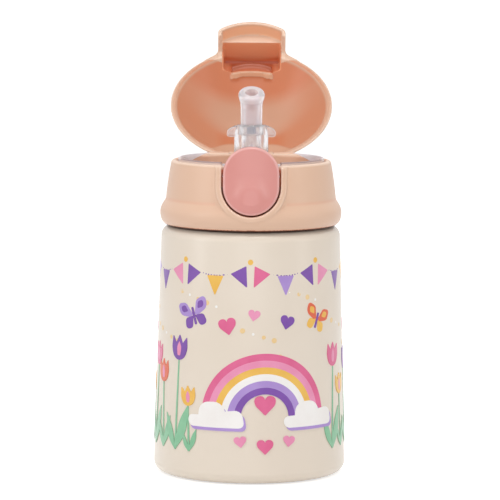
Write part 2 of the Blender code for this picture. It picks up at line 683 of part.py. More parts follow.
# Button
def build_button():
    """Build the rocker button, its pin and its return spring."""
    axis = pivot("button_axis", BUTTON_PIN_Y, BUTTON_PIN_Z)
    base = (0.0, -BUTTON_PIN_Y, -BUTTON_PIN_Z)
    low_z = BUTTON_Z
    high_z = low_z + BUTTON_STRAIGHT
    mid_z = 0.5 * (low_z + high_z)

    def face_r(z):
        return BUTTON_FACE_R - BUTTON_TILT * (z - mid_z)

    top = high_z + BUTTON_R + 3.0
    bottom = low_z - BUTTON_R - 3.0
    blank = [(face_r(top) - BUTTON_THICK, top), (face_r(top), top), (face_r(bottom), bottom)]
    blank += [(face_r(bottom) - BUTTON_THICK, bottom)]
    button = turned("push_button", blank, True, 72)
    place(button, PINK, axis, base)
    shape = prism("button_shape", stadium(BUTTON_R, low_z, high_z, 14), "XZ", CUT_FAR, CUT_NEAR)
    hide(shape, None, axis, base)
    cut(button, shape, "INTERSECT")

    dish_r = 14.0
    dish_z = low_z - 3.5
    dish = ball("thumb_dish", dish_r, (0.0, -(face_r(dish_z) - 1.1 + dish_r), dish_z), 48)
    hide(dish, None, axis, base)
    cut(button, dish)

    pin_y = BUTTON_PIN_Y
    pin_z = BUTTON_PIN_Z
    plate_y = face_r(pin_z) - 0.5 * BUTTON_THICK
    web_x = 9.0
    web_y = -math.sqrt(plate_y * plate_y - web_x * web_x) - 0.2
    web = box("button_web", (-web_x, web_y, pin_z - 1.4), (web_x, pin_y, pin_z + 1.4))
    hide(web, PINK, axis, base)
    cut(button, web, "UNION")
    barrel_x = BUTTON_R - 0.6
    barrel = rod("button_barrel", 1.8, -barrel_x, barrel_x, pin_y, pin_z)
    hide(barrel, PINK, axis, base)
    cut(button, barrel, "UNION")
    bore_x = 2.0 * BUTTON_R
    bore = rod("button_bore", BUTTON_PIN_R + BORE_GAP, -bore_x, bore_x, pin_y, pin_z, TINY_STEPS)
    hide(bore, None, axis, base)
    cut(button, bore)
    tooth_z = COVER_Z + CATCH_RISE + 1.4
    tooth_back = -(face_r(tooth_z) - BUTTON_THICK) + TOOTH_PROUD
    tooth = box("button_tooth", (-4.4, tooth_back - 2.0, tooth_z), (4.4, tooth_back, tooth_z + 1.3))
    hide(tooth, PINK, axis, base)
    cut(button, tooth, "UNION")

    pin_x = BUTTON_R + RUN_GAP + 1.5
    place(rod("button_pin", BUTTON_PIN_R, -pin_x, pin_x, pin_y, pin_z, TINY_STEPS), STEEL)

    spring_z = low_z - 0.62 * BUTTON_R
    wire = 0.5
    front_y = -(face_r(spring_z) - BUTTON_THICK) + TOUCH_GAP + 0.5 * wire
    back_y = -(COLLAR_IN_R + 0.9) - TOUCH_GAP - 0.5 * wire
    turns = 3
    count = turns * 9
    coil = []
    for i in range(count + 1):
        angle = math.tau * turns * i / count
        y = front_y + (back_y - front_y) * i / count
        coil.append((2.2 * math.cos(angle), y, spring_z + 2.2 * math.sin(angle)))
    place(spring("button_spring", coil, wire), SPRING)


# Cover
def hood_outline(inset, rear):
    """Outline the hood in XY, with its bowed front, drawn in by an inset."""
    half = HOOD_HALF - inset
    bow = HOOD_FRONT - HOOD_CORNER
    bow_r = (HOOD_HALF * HOOD_HALF + bow * bow) / (2.0 * bow)
    centre = -(HOOD_FRONT - bow_r)
    radius = bow_r - inset
    reach = math.degrees(math.asin(half / radius))
    front = arc(0.0, centre, radius, 270.0 - reach * 0.93, 270.0 + reach * 0.93, 10)
    drop = radius * math.cos(math.radians(reach)) - 1.8
    return [(half, rear), (-half, rear), (-half, centre - drop)] + front + [(half, centre - drop)]


def build_cover():
    """Build the domed cover, its pin and its torsion spring."""
    axis = pivot("cover_axis", HINGE_Y, HINGE_Z)
    base = (0.0, -HINGE_Y, -HINGE_Z)
    z = COVER_Z
    outer = []
    inner = []
    for share in (0.0, 0.18, 0.36, 0.54, 0.7, 0.83, 0.93, 1.0):
        outer.append((COVER_R * share, z + 0.5 + (COVER_HEIGHT - 0.5) * (1.0 - share * share)))
    outer += [(COVER_R, z + 0.3), (COVER_R - 0.3, z)]
    for share in (1.0, 0.92, 0.82, 0.68, 0.52, 0.35, 0.17, 0.0):
        inner.append((COVER_IN_R * share, z + COVER_IN_HEIGHT * (1.0 - share * share)))
    cover = turned("flip_cover", outer + inner, False)
    place(cover, PEACH, axis, base)

    def tool(obj, mat=None):
        hide(obj, mat, axis, base)
        return obj

    skirt_z = z - HOOD_SKIRT
    ledge_z = z - LEDGE_DROP
    roof_z = z + RECESS_ROOF
    top_z = roof_z + COVER_ROOF
    rear = -(COVER_R - 15.1)
    deep = rear + 4.0
    recess = tool(box("recess", (-RECESS_HALF, -LEDGE_S, skirt_z - 8.0), (RECESS_HALF, rear, roof_z)))
    cut(cover, recess)

    hood = tool(prism("hood", hood_outline(0.0, rear), "XY", skirt_z, top_z + 6.0), PEACH)
    front = -HOOD_FRONT
    side = [(deep, skirt_z - 2.0), (front - 4.0, skirt_z - 2.0), (front - 0.2, roof_z - 3.4)]
    side += [(front + 1.6, roof_z - 0.2), (front + 4.4, top_z - 0.3), (front + 8.0, top_z)]
    side += [(rear - 6.0, top_z + 0.8), (deep, top_z + 2.6)]
    cut(hood, tool(prism("hood_side", side, "YZ", -2.0 * HOOD_HALF, 2.0 * HOOD_HALF)), "INTERSECT")
    cut(hood, tool(prism("hood_skirt", hood_outline(HOOD_WALL, deep), "XY", skirt_z - 6.0, ledge_z)))
    cut(hood, recess)
    hollow = [(0.0, z + COVER_IN_HEIGHT)]
    for share in (0.17, 0.35, 0.52, 0.68, 0.82, 0.92, 1.0):
        hollow.append((COVER_IN_R * share + 0.6, z + COVER_IN_HEIGHT * (1.0 - share * share)))
    clear = [(r, h) for r, h in ridge_outside(0.45)]
    hollow += [(clear[0][0], z + 0.01)] + clear[1:] + [(0.0, COLLAR_Z)]
    cut(hood, tool(turned("cover_hollow", hollow, False)))
    cut(cover, hood, "UNION")

    low = z + CATCH_RISE
    face = -(COVER_R - CATCH_IN)
    heel = face + CATCH_DEEP
    bar = heel - 2.8
    lip = face - 1.1
    block = [(face, top_z - 0.8), (face, low + 1.1), (lip, low + 1.1), (lip, low + 0.2), (lip + 0.6, low)]
    block += [(bar, low), (bar, low - 0.7), (heel, low - 0.7), (heel, top_z - 0.8)]
    cut(cover, tool(prism("catch_mid", block, "YZ", -4.8, 4.8), PEACH), "UNION")
    wide = [(face, top_z - 0.8), (face, low), (bar, low), (bar, low - 0.7)]
    wide += [(heel, low - 0.7), (heel, top_z - 0.8)]
    foot_x = 6.2
    for sign in (-1.0, 1.0):
        label = "%d" % (sign > 0)
        near, far = sorted((sign * 4.6, sign * 8.4))
        cut(cover, tool(prism("catch_side_" + label, wide, "YZ", near, far), PEACH), "UNION")
        near, far = sorted((sign * foot_x, sign * 8.39))
        foot = box("catch_foot_" + label, (near, heel - 0.2, low - 0.69), (far, heel + 2.7, top_z + 0.4))
        cut(cover, tool(foot, PEACH), "UNION")

    y = HINGE_Y
    hz = HINGE_Z
    for sign in (-1.0, 1.0):
        label = "%d" % (sign > 0)
        near, far = sorted((sign * KNUCKLE_OUT, sign * (EAR_OUT + 1.5)))
        cut(cover, tool(rod("ear_room_" + label, KNUCKLE_R + 0.4, near, far, y, hz)))
    spring_room = rod("spring_room", KNUCKLE_R, -KNUCKLE_IN, KNUCKLE_IN, y, hz)
    cut(cover, tool(spring_room))
    for sign in (-1.0, 1.0):
        label = "%d" % (sign > 0)
        near, far = sorted((sign * KNUCKLE_IN, sign * KNUCKLE_OUT))
        cut(cover, tool(rod("knuckle_" + label, KNUCKLE_R - 0.01, near, far, y, hz), PEACH), "UNION")
    cut(cover, tool(rod("cover_bore", HINGE_PIN_R + BORE_GAP, -EAR_OUT, EAR_OUT, y, hz, TINY_STEPS)))
    axis.rotation_euler = (math.radians(-COVER_OPEN_DEG), 0.0, 0.0)

    pin_x = EAR_OUT - 1.1
    place(rod("hinge_pin", HINGE_PIN_R, -pin_x, pin_x, y, hz, TINY_STEPS), STEEL)
    turns = 4
    pitch = 1.15
    count = turns * 9
    coil = [(-0.5 * turns * pitch, y - 0.9, hz - 1.95)]
    for i in range(count + 1):
        angle = math.tau * turns * i / count - 0.5 * math.pi
        x = pitch * turns * (i / count - 0.5)
        coil.append((x, y + 1.9 * math.cos(angle), hz + 1.9 * math.sin(angle)))
    coil.append((0.5 * turns * pitch, y + 0.9, hz - 1.95))
    place(spring("hinge_spring", coil, 0.6), SPRING)


build_bottle()
build_collar()
build_core()
build_spout()
build_button()
build_cover()
bpy.context.view_layer.update()
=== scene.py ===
"""Looks of a kids' vacuum straw bottle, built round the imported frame.

Lengths are written in millimetres and turned into metres when a piece is set down.
The push button faces -Y, +Z is up and the base centre is the origin.
"""

import logging
import math
from dataclasses import dataclass, field
from enum import Enum
from typing import Callable, Optional, Sequence, Union

import bmesh
import bpy
from mathutils import Matrix, Vector
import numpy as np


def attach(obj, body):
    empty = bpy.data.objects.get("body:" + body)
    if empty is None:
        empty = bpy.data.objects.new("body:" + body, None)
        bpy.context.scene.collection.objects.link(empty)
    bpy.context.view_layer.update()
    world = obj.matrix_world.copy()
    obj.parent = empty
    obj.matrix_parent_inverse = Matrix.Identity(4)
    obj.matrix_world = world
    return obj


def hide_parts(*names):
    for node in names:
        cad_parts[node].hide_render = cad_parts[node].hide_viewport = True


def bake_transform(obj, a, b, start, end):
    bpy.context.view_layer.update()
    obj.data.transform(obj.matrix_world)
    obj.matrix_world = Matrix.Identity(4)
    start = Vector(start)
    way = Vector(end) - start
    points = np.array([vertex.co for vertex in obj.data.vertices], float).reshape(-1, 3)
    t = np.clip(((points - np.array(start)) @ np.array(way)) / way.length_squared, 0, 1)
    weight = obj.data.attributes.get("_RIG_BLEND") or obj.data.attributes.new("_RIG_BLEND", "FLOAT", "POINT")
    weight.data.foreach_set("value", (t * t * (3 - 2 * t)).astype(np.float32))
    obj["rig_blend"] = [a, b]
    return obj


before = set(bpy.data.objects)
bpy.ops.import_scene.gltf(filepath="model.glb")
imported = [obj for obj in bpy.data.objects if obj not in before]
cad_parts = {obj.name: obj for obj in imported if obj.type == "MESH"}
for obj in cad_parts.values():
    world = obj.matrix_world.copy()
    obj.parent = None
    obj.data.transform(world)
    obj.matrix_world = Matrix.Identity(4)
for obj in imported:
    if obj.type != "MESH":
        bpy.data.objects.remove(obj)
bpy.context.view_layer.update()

LOG = logging.getLogger("straw_bottle")
MM = 0.001
ROUND_STEPS = 180
FINE_STEPS = 240
FAR_UP = 150.0
FAR_DOWN = 90.0
FAR_OUT = 50.0
NO_CREASE = 180.0
# HOLLOW marks painted shade and painted bounce light on the collar and cover, the rim seal's film tint and
# painted shade line, and how milky the soft tip is; EDGE marks painted highlights on edges
HOLLOW = "hollow"
EDGE = "edge"
BLACK = (0.0, 0.0, 0.0, 1.0)
WHITE = (1.0, 1.0, 1.0, 1.0)
Corner = Sequence[float]
Colour = tuple[float, float, float, float]


class Body(Enum):
    """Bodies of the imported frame."""

    BOTTLE = "bottle"
    SEAL_RING = "seal_ring"
    LID = "lid"
    COVER = "cover"
    BUTTON = "button"


class Plane(Enum):
    """Plane of an outline, with the way from (across, level, up) to X, Y and Z."""

    XZ = ((1, 0, 0), (0, 1, 0), (0, 0, 1))
    XY = ((1, 0, 0), (0, 0, 1), (0, 1, 0))
    YZ = ((0, 1, 0), (1, 0, 0), (0, 0, 1))


class Join(Enum):
    """Ways to combine two closed shapes."""

    CUT = "DIFFERENCE"
    FUSE = "UNION"
    KEEP = "INTERSECT"


def linear(value: float) -> float:
    """Turn one sRGB channel of 0 to 255 into a linear one.

    Args:
        value: the channel.

    Returns:
        The linear channel, 0 to 1.
    """
    share = value / 255.0
    if share <= 0.04045:
        return share / 12.92
    return ((share + 0.055) / 1.055) ** 2.4


def srgb(red: float, green: float, blue: float) -> Colour:
    """Turn an sRGB colour of 0 to 255 into a linear one."""
    return (linear(red), linear(green), linear(blue), 1.0)


def ramp(value: float, start: float, width: float) -> float:
    """Rise from 0 at a start to 1 over a width."""
    return min(1.0, max(0.0, (value - start) / width))


def ease(share: float) -> float:
    """Soften both ends of a rise from 0 to 1."""
    return share * share * (3.0 - 2.0 * share)


def peak(value: float, middle: float, half: float) -> float:
    """Fall from 1 at a middle to 0 on both sides of it."""
    return max(0.0, 1.0 - abs(value - middle) / half)


def round_off(near: float, radius: float) -> float:
    """Drop of a rounded edge at a distance from that edge."""
    share = max(0.0, 1.0 - near / radius)
    return radius * (1.0 - math.sqrt(max(0.0, 1.0 - share * share)))


def round_wire(radius: float, wire: float, z: float = 0.0) -> list[Corner]:
    """List the section of a round wire that runs at a radius from the axis.

    Args:
        radius: radius of the wire's middle.
        wire: half its thickness.
        z: height of its middle.

    Returns:
        The section's corners.
    """
    far = radius + wire
    near = radius - wire
    return [(far, z - wire, wire), (far, z + wire, wire), (near, z + wire, wire), (near, z - wire, wire)]


def mirrored(corners: Sequence[Corner], sign: float = -1.0) -> list[Corner]:
    """Mirror an outline across its middle, or keep it where the sign is 1."""
    return [(sign * corner[0], *corner[1:]) for corner in corners]


def link(name: str, data: Optional[bpy.types.ID]) -> bpy.types.Object:
    """Make an object and link it to the scene.

    Args:
        name: its name.
        data: its mesh, lamp or camera.

    Returns:
        The object.
    """
    obj = bpy.data.objects.new(name, data)
    bpy.context.scene.collection.objects.link(obj)
    return obj


# Shapes
class Sculpt:
    """A mesh in millimetres that bmesh operators shape."""

    def __init__(self) -> None:
        """Start with nothing."""
        self.bm = bmesh.new()

    def tidy(self) -> "Sculpt":
        """Merge doubles, drop loose edges and turn the faces outward.

        Returns:
            This sculpt.
        """
        bmesh.ops.remove_doubles(self.bm, verts=self.bm.verts, dist=0.0004)
        loose = [edge for edge in self.bm.edges if edge.is_wire]
        bmesh.ops.delete(self.bm, geom=loose, context="EDGES")
        bmesh.ops.recalc_face_normals(self.bm, faces=self.bm.faces)
        return self

    def wire(self, corners: Sequence[Corner], closed: bool, segments: int = 6) -> "Sculpt":
        """Draw a line through corners in XZ and round the corners that ask for it.

        Args:
            corners: (across, up) or (across, up, rounding) for each corner.
            closed: True joins the last corner to the first.
            segments: edges in each rounding.

        Returns:
            This sculpt.
        """
        verts = [self.bm.verts.new((corner[0], 0.0, corner[1])) for corner in corners]
        pairs = list(zip(verts, verts[1:]))
        if closed:
            pairs.append((verts[-1], verts[0]))
        for first, second in pairs:
            self.bm.edges.new((first, second))
        for vert, corner in zip(verts, corners):
            if len(corner) > 2:
                bmesh.ops.bevel(
                    self.bm, geom=[vert], offset=corner[2], offset_type="OFFSET", segments=segments,
                    profile=0.5, affect="VERTICES", clamp_overlap=True, material=-1,
                )
        return self

    @classmethod
    def turned(
        cls, corners: Sequence[Corner], closed: bool = True, steps: int = ROUND_STEPS,
        sweep: float = 360.0, start: float = 0.0, rise: float = 0.0, segments: int = 6,
    ) -> "Sculpt":
        """Spin a profile about Z.

        Args:
            corners: profile corners as (radius, height) or (radius, height, rounding).
            closed: True for a ring, False for a chain from axis to axis.
            steps: faces round the sweep.
            sweep: angle in degrees.
            start: angle of the first section from +X, in degrees.
            rise: climb over the whole sweep, for a thread or a coil.
            segments: edges in each rounding.

        Returns:
            The closed shape.
        """
        made = cls().wire(corners, closed, segments)
        bm = made.bm
        made.turn(start, "Z")
        whole = abs(sweep) >= 360.0 and rise == 0.0
        bmesh.ops.spin(
            bm, geom=bm.verts[:] + bm.edges[:], cent=(0, 0, 0), axis=(0, 0, 1),
            dvec=(0, 0, rise / steps), angle=math.radians(sweep), steps=steps, use_merge=whole,
        )
        if not whole:
            bmesh.ops.holes_fill(bm, edges=bm.edges, sides=0)
        return made.tidy()

    @classmethod
    def slab(
        cls, corners: Sequence[Corner], plane: Plane, low: float, high: float, segments: int = 6,
    ) -> "Sculpt":
        """Extrude a flat outline between two levels.

        Args:
            corners: outline corners, with a rounding where one is wanted.
            plane: plane of the outline.
            low: first level across the plane.
            high: second level across the plane.
            segments: edges in each rounding.

        Returns:
            The closed shape.
        """
        made = cls().wire(corners, True, segments)
        bm = made.bm
        bmesh.ops.edgenet_fill(bm, edges=bm.edges)
        bmesh.ops.translate(bm, verts=bm.verts, vec=(0.0, low, 0.0))
        grown = bmesh.ops.extrude_face_region(bm, geom=bm.faces[:])
        moved = [item for item in grown["geom"] if isinstance(item, bmesh.types.BMVert)]
        bmesh.ops.translate(bm, verts=moved, vec=(0.0, high - low, 0.0))
        bm.transform(Matrix(plane.value).to_4x4())
        return made.tidy()

    @classmethod
    def post(cls, radius: float, low: float, high: float, steps: int = ROUND_STEPS) -> "Sculpt":
        """Make a round post along Z."""
        return cls.turned([(0.0, high), (radius, high), (radius, low), (0.0, low)], False, steps)

    @classmethod
    def block(cls, low: Sequence[float], high: Sequence[float], rounding: float = 0.0) -> "Sculpt":
        """Make a box between two corners, with all edges rounded.

        Args:
            low: lower corner.
            high: upper corner.
            rounding: radius of the edges.

        Returns:
            The shape.
        """
        made = cls()
        size = Vector(high) - Vector(low)
        middle = (Vector(high) + Vector(low)) * 0.5
        bmesh.ops.create_cube(made.bm, size=1.0)
        bmesh.ops.scale(made.bm, vec=size, verts=made.bm.verts)
        bmesh.ops.translate(made.bm, vec=middle, verts=made.bm.verts)
        if rounding > 0.0:
            made.soften(made.bm.edges[:], rounding, 4)
        return made.tidy()

    @classmethod
    def peg(
        cls, radius: float, low: float, high: float, y: float, z: float,
        rounding: float = 0.0, sides: int = 48,
    ) -> "Sculpt":
        """Make a round peg along X with rounded ends.

        Args:
            radius: its radius.
            low: first end along X.
            high: second end along X.
            y: place of its axis.
            z: height of its axis.
            rounding: radius of the end edges.
            sides: faces round it.

        Returns:
            The shape.
        """
        made = cls()
        bm = made.bm
        bmesh.ops.create_cone(
            bm, cap_ends=True, cap_tris=False, segments=sides,
            radius1=radius, radius2=radius, depth=high - low,
        )
        if rounding > 0.0:
            ends = [edge for edge in bm.edges if abs(edge.verts[0].co.z - edge.verts[1].co.z) < 0.001]
            made.soften(ends, rounding, 5)
        return made.turn(90.0, "Y").shift(0.5 * (low + high), y, z).tidy()

    def soften(self, edges: Sequence[bmesh.types.BMEdge], width: float, segments: int) -> "Sculpt":
        """Round some edges.

        Args:
            edges: the edges.
            width: radius of the rounding.
            segments: edges in it.

        Returns:
            This sculpt.
        """
        bmesh.ops.bevel(
            self.bm, geom=list(edges), offset=width, offset_type="OFFSET", segments=segments,
            profile=0.5, affect="EDGES", clamp_overlap=True, material=-1,
        )
        return self

    def shift(self, x: float = 0.0, y: float = 0.0, z: float = 0.0) -> "Sculpt":
        """Move the whole shape."""
        bmesh.ops.translate(self.bm, verts=self.bm.verts, vec=(x, y, z))
        return self

    def turn(self, degrees: float, axis: str, centre: Sequence[float] = (0.0, 0.0, 0.0)) -> "Sculpt":
        """Turn the whole shape about an axis through a centre.

        Args:
            degrees: the angle.
            axis: X, Y or Z.
            centre: a point of the axis.

        Returns:
            This sculpt.
        """
        matrix = Matrix.Rotation(math.radians(degrees), 3, axis)
        bmesh.ops.rotate(self.bm, verts=self.bm.verts, cent=centre, matrix=matrix)
        return self

    def mould(self, rule: Callable[[Vector], Vector]) -> "Sculpt":
        """Move every point by a rule.

        Args:
            rule: gives a point's new place.

        Returns:
            This sculpt.
        """
        for vert in self.bm.verts:
            vert.co = rule(vert.co)
        return self

    def slice_along(self, axis: int, step: float, near: float = 0.0) -> "Sculpt":
        """Cut faces across an axis at even steps, so that the shape can bend.

        Args:
            axis: 0 for X, 2 for Z.
            step: about the widest strip that is left.
            near: a point this near to a cut counts as on it.

        Returns:
            This sculpt.
        """
        places = [vert.co[axis] for vert in self.bm.verts]
        low = min(places)
        length = max(places) - low
        count = int(length / step)
        way = Matrix.Identity(3)[axis]
        for index in range(1, count + 1):
            place = way * (low + length * index / (count + 1))
            geometry = self.bm.verts[:] + self.bm.edges[:] + self.bm.faces[:]
            bmesh.ops.bisect_plane(self.bm, geom=geometry, plane_co=place, plane_no=way, dist=near)
        return self

    def grow(self, edges: Sequence[bmesh.types.BMEdge]) -> list[bmesh.types.BMEdge]:
        """Draw a closed line of edges out to a second line, which starts in the same place.

        Args:
            edges: the open edge of the shape.

        Returns:
            The new open edge.
        """
        grown = bmesh.ops.extrude_edge_only(self.bm, edges=edges)["geom"]
        return [item for item in grown if isinstance(item, bmesh.types.BMEdge) and item.is_boundary]

    def mark(self, name: str, rule: Callable[[Vector], float]) -> "Sculpt":
        """Write a mark at every point by a rule of its place.

        Args:
            name: name of the mark.
            rule: gives the mark at a point.

        Returns:
            This sculpt.
        """
        layer = self.bm.verts.layers.float.new(name)
        for vert in self.bm.verts:
            vert[layer] = rule(vert.co)
        return self

    def mark_edges(self, low: float = 0.04, high: float = 0.14) -> "Sculpt":
        """Mark convex edges from 0 to 1 by how far each point stands out from its neighbours, for a painted
        highlight.

        Args:
            low: lean of the neighbours at which an edge starts.
            high: lean at which it is full.

        Returns:
            This sculpt.
        """
        self.bm.normal_update()
        self.bm.verts.index_update()
        layer = self.bm.verts.layers.float.new(EDGE)
        leans = []
        for vert in self.bm.verts:
            ways = [edge.other_vert(vert).co - vert.co for edge in vert.link_edges]
            leans.append(-sum(way.normalized().dot(vert.normal) for way in ways) / max(1, len(ways)))
        for vert in self.bm.verts:
            near = [leans[edge.other_vert(vert).index] for edge in vert.link_edges] + [leans[vert.index]]
            vert[layer] = ramp(sum(near) / len(near), low, high - low)
        return self

    def mesh(self, name: str) -> bpy.types.Mesh:
        """Make a mesh of this shape.

        Args:
            name: name of the mesh.

        Returns:
            The mesh.
        """
        made = bpy.data.meshes.new(name)
        self.bm.to_mesh(made)
        return made

    def add(self, *others: "Sculpt") -> "Sculpt":
        """Take in other shapes as they are.

        Args:
            others: the shapes.

        Returns:
            This sculpt.
        """
        for other in others:
            mesh = other.mesh("joined")
            self.bm.from_mesh(mesh)
            bpy.data.meshes.remove(mesh)
        return self

    def stand(self, name: str) -> bpy.types.Object:
        """Make a passing object of this shape for a modifier."""
        return link(name, self.mesh(name))

    def take(self, *objects: bpy.types.Object) -> "Sculpt":
        """Read the first object back with its modifiers and remove all of them.

        Args:
            objects: the object to read, then the others to remove.

        Returns:
            This sculpt.
        """
        bpy.context.view_layer.update()
        graph = bpy.context.evaluated_depsgraph_get()
        mesh = bpy.data.meshes.new_from_object(objects[0].evaluated_get(graph))
        self.bm.clear()
        self.bm.from_mesh(mesh)
        bpy.data.meshes.remove(mesh)
        for obj in objects:
            data = obj.data
            bpy.data.objects.remove(obj, do_unlink=True)
            bpy.data.meshes.remove(data)
        return self

    def combine(self, tool: "Sculpt", way: Join) -> "Sculpt":
        """Cut, fuse or keep with another closed shape.

        Args:
            tool: the other shape.
            way: how they are combined.

        Returns:
            This sculpt.
        """
        work = self.stand("work")
        knife = tool.stand("tool")
        change = work.modifiers.new("combine", "BOOLEAN")
        change.operation = way.value
        change.solver = "EXACT"
        change.object = knife
        return self.take(work, knife)

    def cast(self, voxel: float, rounds: int) -> "Sculpt":
        """Fuse overlapping shapes into one moulded skin with soft edges.

        Args:
            voxel: size of the skin's faces.
            rounds: smoothing rounds.

        Returns:
            This sculpt.
        """
        work = self.stand("work")
        skin = work.modifiers.new("skin", "REMESH")
        skin.mode = "VOXEL"
        skin.voxel_size = voxel
        soft = work.modifiers.new("soft", "SMOOTH")
        soft.factor = 0.5
        soft.iterations = rounds
        return self.take(work)


def set_piece(
    name: str, shape: Sculpt, finish: bpy.types.Material, body: Optional[Body],
    stands_for: Sequence[str] = (), crease: float = 40.0,
) -> bpy.types.Object:
    """Set a finished piece down on its body.

    Args:
        name: piece name.
        shape: shape in millimetres, in place.
        finish: its material.
        body: the frame body that carries it, or None for a piece that bends between two.
        stands_for: CAD nodes that it replaces.
        crease: edges sharper than this angle stay crisp.

    Returns:
        The object.
    """
    bmesh.ops.scale(shape.bm, vec=(MM, MM, MM), verts=shape.bm.verts)
    mesh = shape.mesh(name)
    shape.bm.free()
    mesh.shade_smooth()
    mesh.set_sharp_from_angle(angle=math.radians(crease))
    mesh.materials.append(finish)
    obj = link(name, mesh)
    if body is not None:
        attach(obj, body.value)
    if stands_for:
        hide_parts(*stands_for)
    LOG.info("%s on %s: %d faces", name, body.value if body else "two bodies", len(mesh.polygons))
    return obj


# Finishes
class Wire:
    """An output socket that Python operators can combine."""

    def __init__(self, box: "Paintbox", socket: Optional[bpy.types.NodeSocket]) -> None:
        """Keep the socket and the tree it belongs to."""
        self.box = box
        self.socket = socket

    def maths(self, operation: str, first: "Value", second: "Value" = 0.0) -> "Wire":
        """Add a Math node."""
        return self.box.node("ShaderNodeMath", {"operation": operation}, {0: first, 1: second})

    def __add__(self, other: "Value") -> "Wire":
        """Add."""
        return self.maths("ADD", self, other)

    def __radd__(self, other: "Value") -> "Wire":
        """Add, reflected."""
        return self.maths("ADD", other, self)

    def __sub__(self, other: "Value") -> "Wire":
        """Subtract."""
        return self.maths("SUBTRACT", self, other)

    def __rsub__(self, other: "Value") -> "Wire":
        """Subtract, reflected."""
        return self.maths("SUBTRACT", other, self)

    def __mul__(self, other: "Value") -> "Wire":
        """Multiply."""
        return self.maths("MULTIPLY", self, other)

    def __rmul__(self, other: "Value") -> "Wire":
        """Multiply, reflected."""
        return self.maths("MULTIPLY", other, self)

    def limit(self) -> "Wire":
        """Hold between 0 and 1."""
        return self.box.node("ShaderNodeClamp", {}, {0: self})

    def span(self, low: float, high: float) -> "Wire":
        """Stretch a range of this value smoothly to 0 and 1."""
        return self.box.node(
            "ShaderNodeMapRange", {"interpolation_type": "SMOOTHSTEP"}, {0: self, 1: low, 2: high},
        )


Value = Union[Wire, float]
Owner = Union[bpy.types.Material, bpy.types.World]


class Paintbox:
    """The node tree of a material or a world."""

    def __init__(self, owner: Owner) -> None:
        """Empty the owner's tree.

        Args:
            owner: the material or the world.
        """
        self.owner = owner
        self.owner.use_nodes = True
        self.tree = self.owner.node_tree
        self.tree.nodes.clear()

    @classmethod
    def material(cls, name: str) -> "Paintbox":
        """Start a new material."""
        return cls(bpy.data.materials.new(name))

    def node(self, kind: str, settings: dict, sockets: dict, output: Union[int, str] = 0) -> Wire:
        """Add a node.

        Args:
            kind: node type.
            settings: attributes, set first.
            sockets: values or wires by socket name or number.
            output: the output that is returned.

        Returns:
            The output, empty for a node that has none.
        """
        made = self.tree.nodes.new(kind)
        for key, value in settings.items():
            setattr(made, key, value)
        for key, value in sockets.items():
            if isinstance(value, Wire):
                self.tree.links.new(value.socket, made.inputs[key])
            else:
                made.inputs[key].default_value = value
        return Wire(self, made.outputs[output] if made.outputs else None)

    def place(self, stretch: Sequence[float] = (1.0, 1.0, 1.0)) -> Wire:
        """Object coordinates, stretched along each axis."""
        here = self.node("ShaderNodeTexCoord", {}, {}, "Object")
        return self.node("ShaderNodeMapping", {}, {"Vector": here, "Scale": tuple(stretch)})

    def noise(self, at: Wire, size: float, detail: float = 2.0) -> Wire:
        """Noise whose blots are about a size in millimetres."""
        return self.node("ShaderNodeTexNoise", {}, {"Vector": at, "Scale": 1000.0 / size, "Detail": detail})

    def mark(self, name: str) -> Wire:
        """Mark that the mesh carries at every point."""
        return self.node("ShaderNodeAttribute", {"attribute_name": name}, {}, "Fac")

    def seen(self) -> Wire:
        """1 for what the camera sees, straight, in gloss or through a clear piece.

        Returns:
            The value, 0 or 1.
        """
        names = ("Is Camera Ray", "Is Glossy Ray", "Is Transmission Ray")
        camera, gloss, through = [self.node("ShaderNodeLightPath", {}, {}, name) for name in names]
        return (camera + gloss + through).limit()

    def mix(self, share: Value, first: Union[Wire, Colour], second: Union[Wire, Colour]) -> Wire:
        """Mix two colours."""
        return self.node("ShaderNodeMix", {"data_type": "RGBA"}, {0: share, 6: first, 7: second}, 2)

    def relief(self, height: Wire, depth: float) -> Wire:
        """Bump of a depth in millimetres."""
        return self.node("ShaderNodeBump", {}, {"Height": height, "Strength": 1.0, "Distance": depth * MM})

    def surface(self, sockets: dict) -> Wire:
        """Principled shader."""
        return self.node("ShaderNodeBsdfPrincipled", {}, sockets)

    def close(self, shader: Wire) -> Owner:
        """Link the shader to the output.

        Args:
            shader: the finished shader.

        Returns:
            The material or the world.
        """
        is_world = isinstance(self.owner, bpy.types.World)
        kind = "ShaderNodeOutputWorld" if is_world else "ShaderNodeOutputMaterial"
        self.node(kind, {}, {"Surface": shader})
        return self.owner


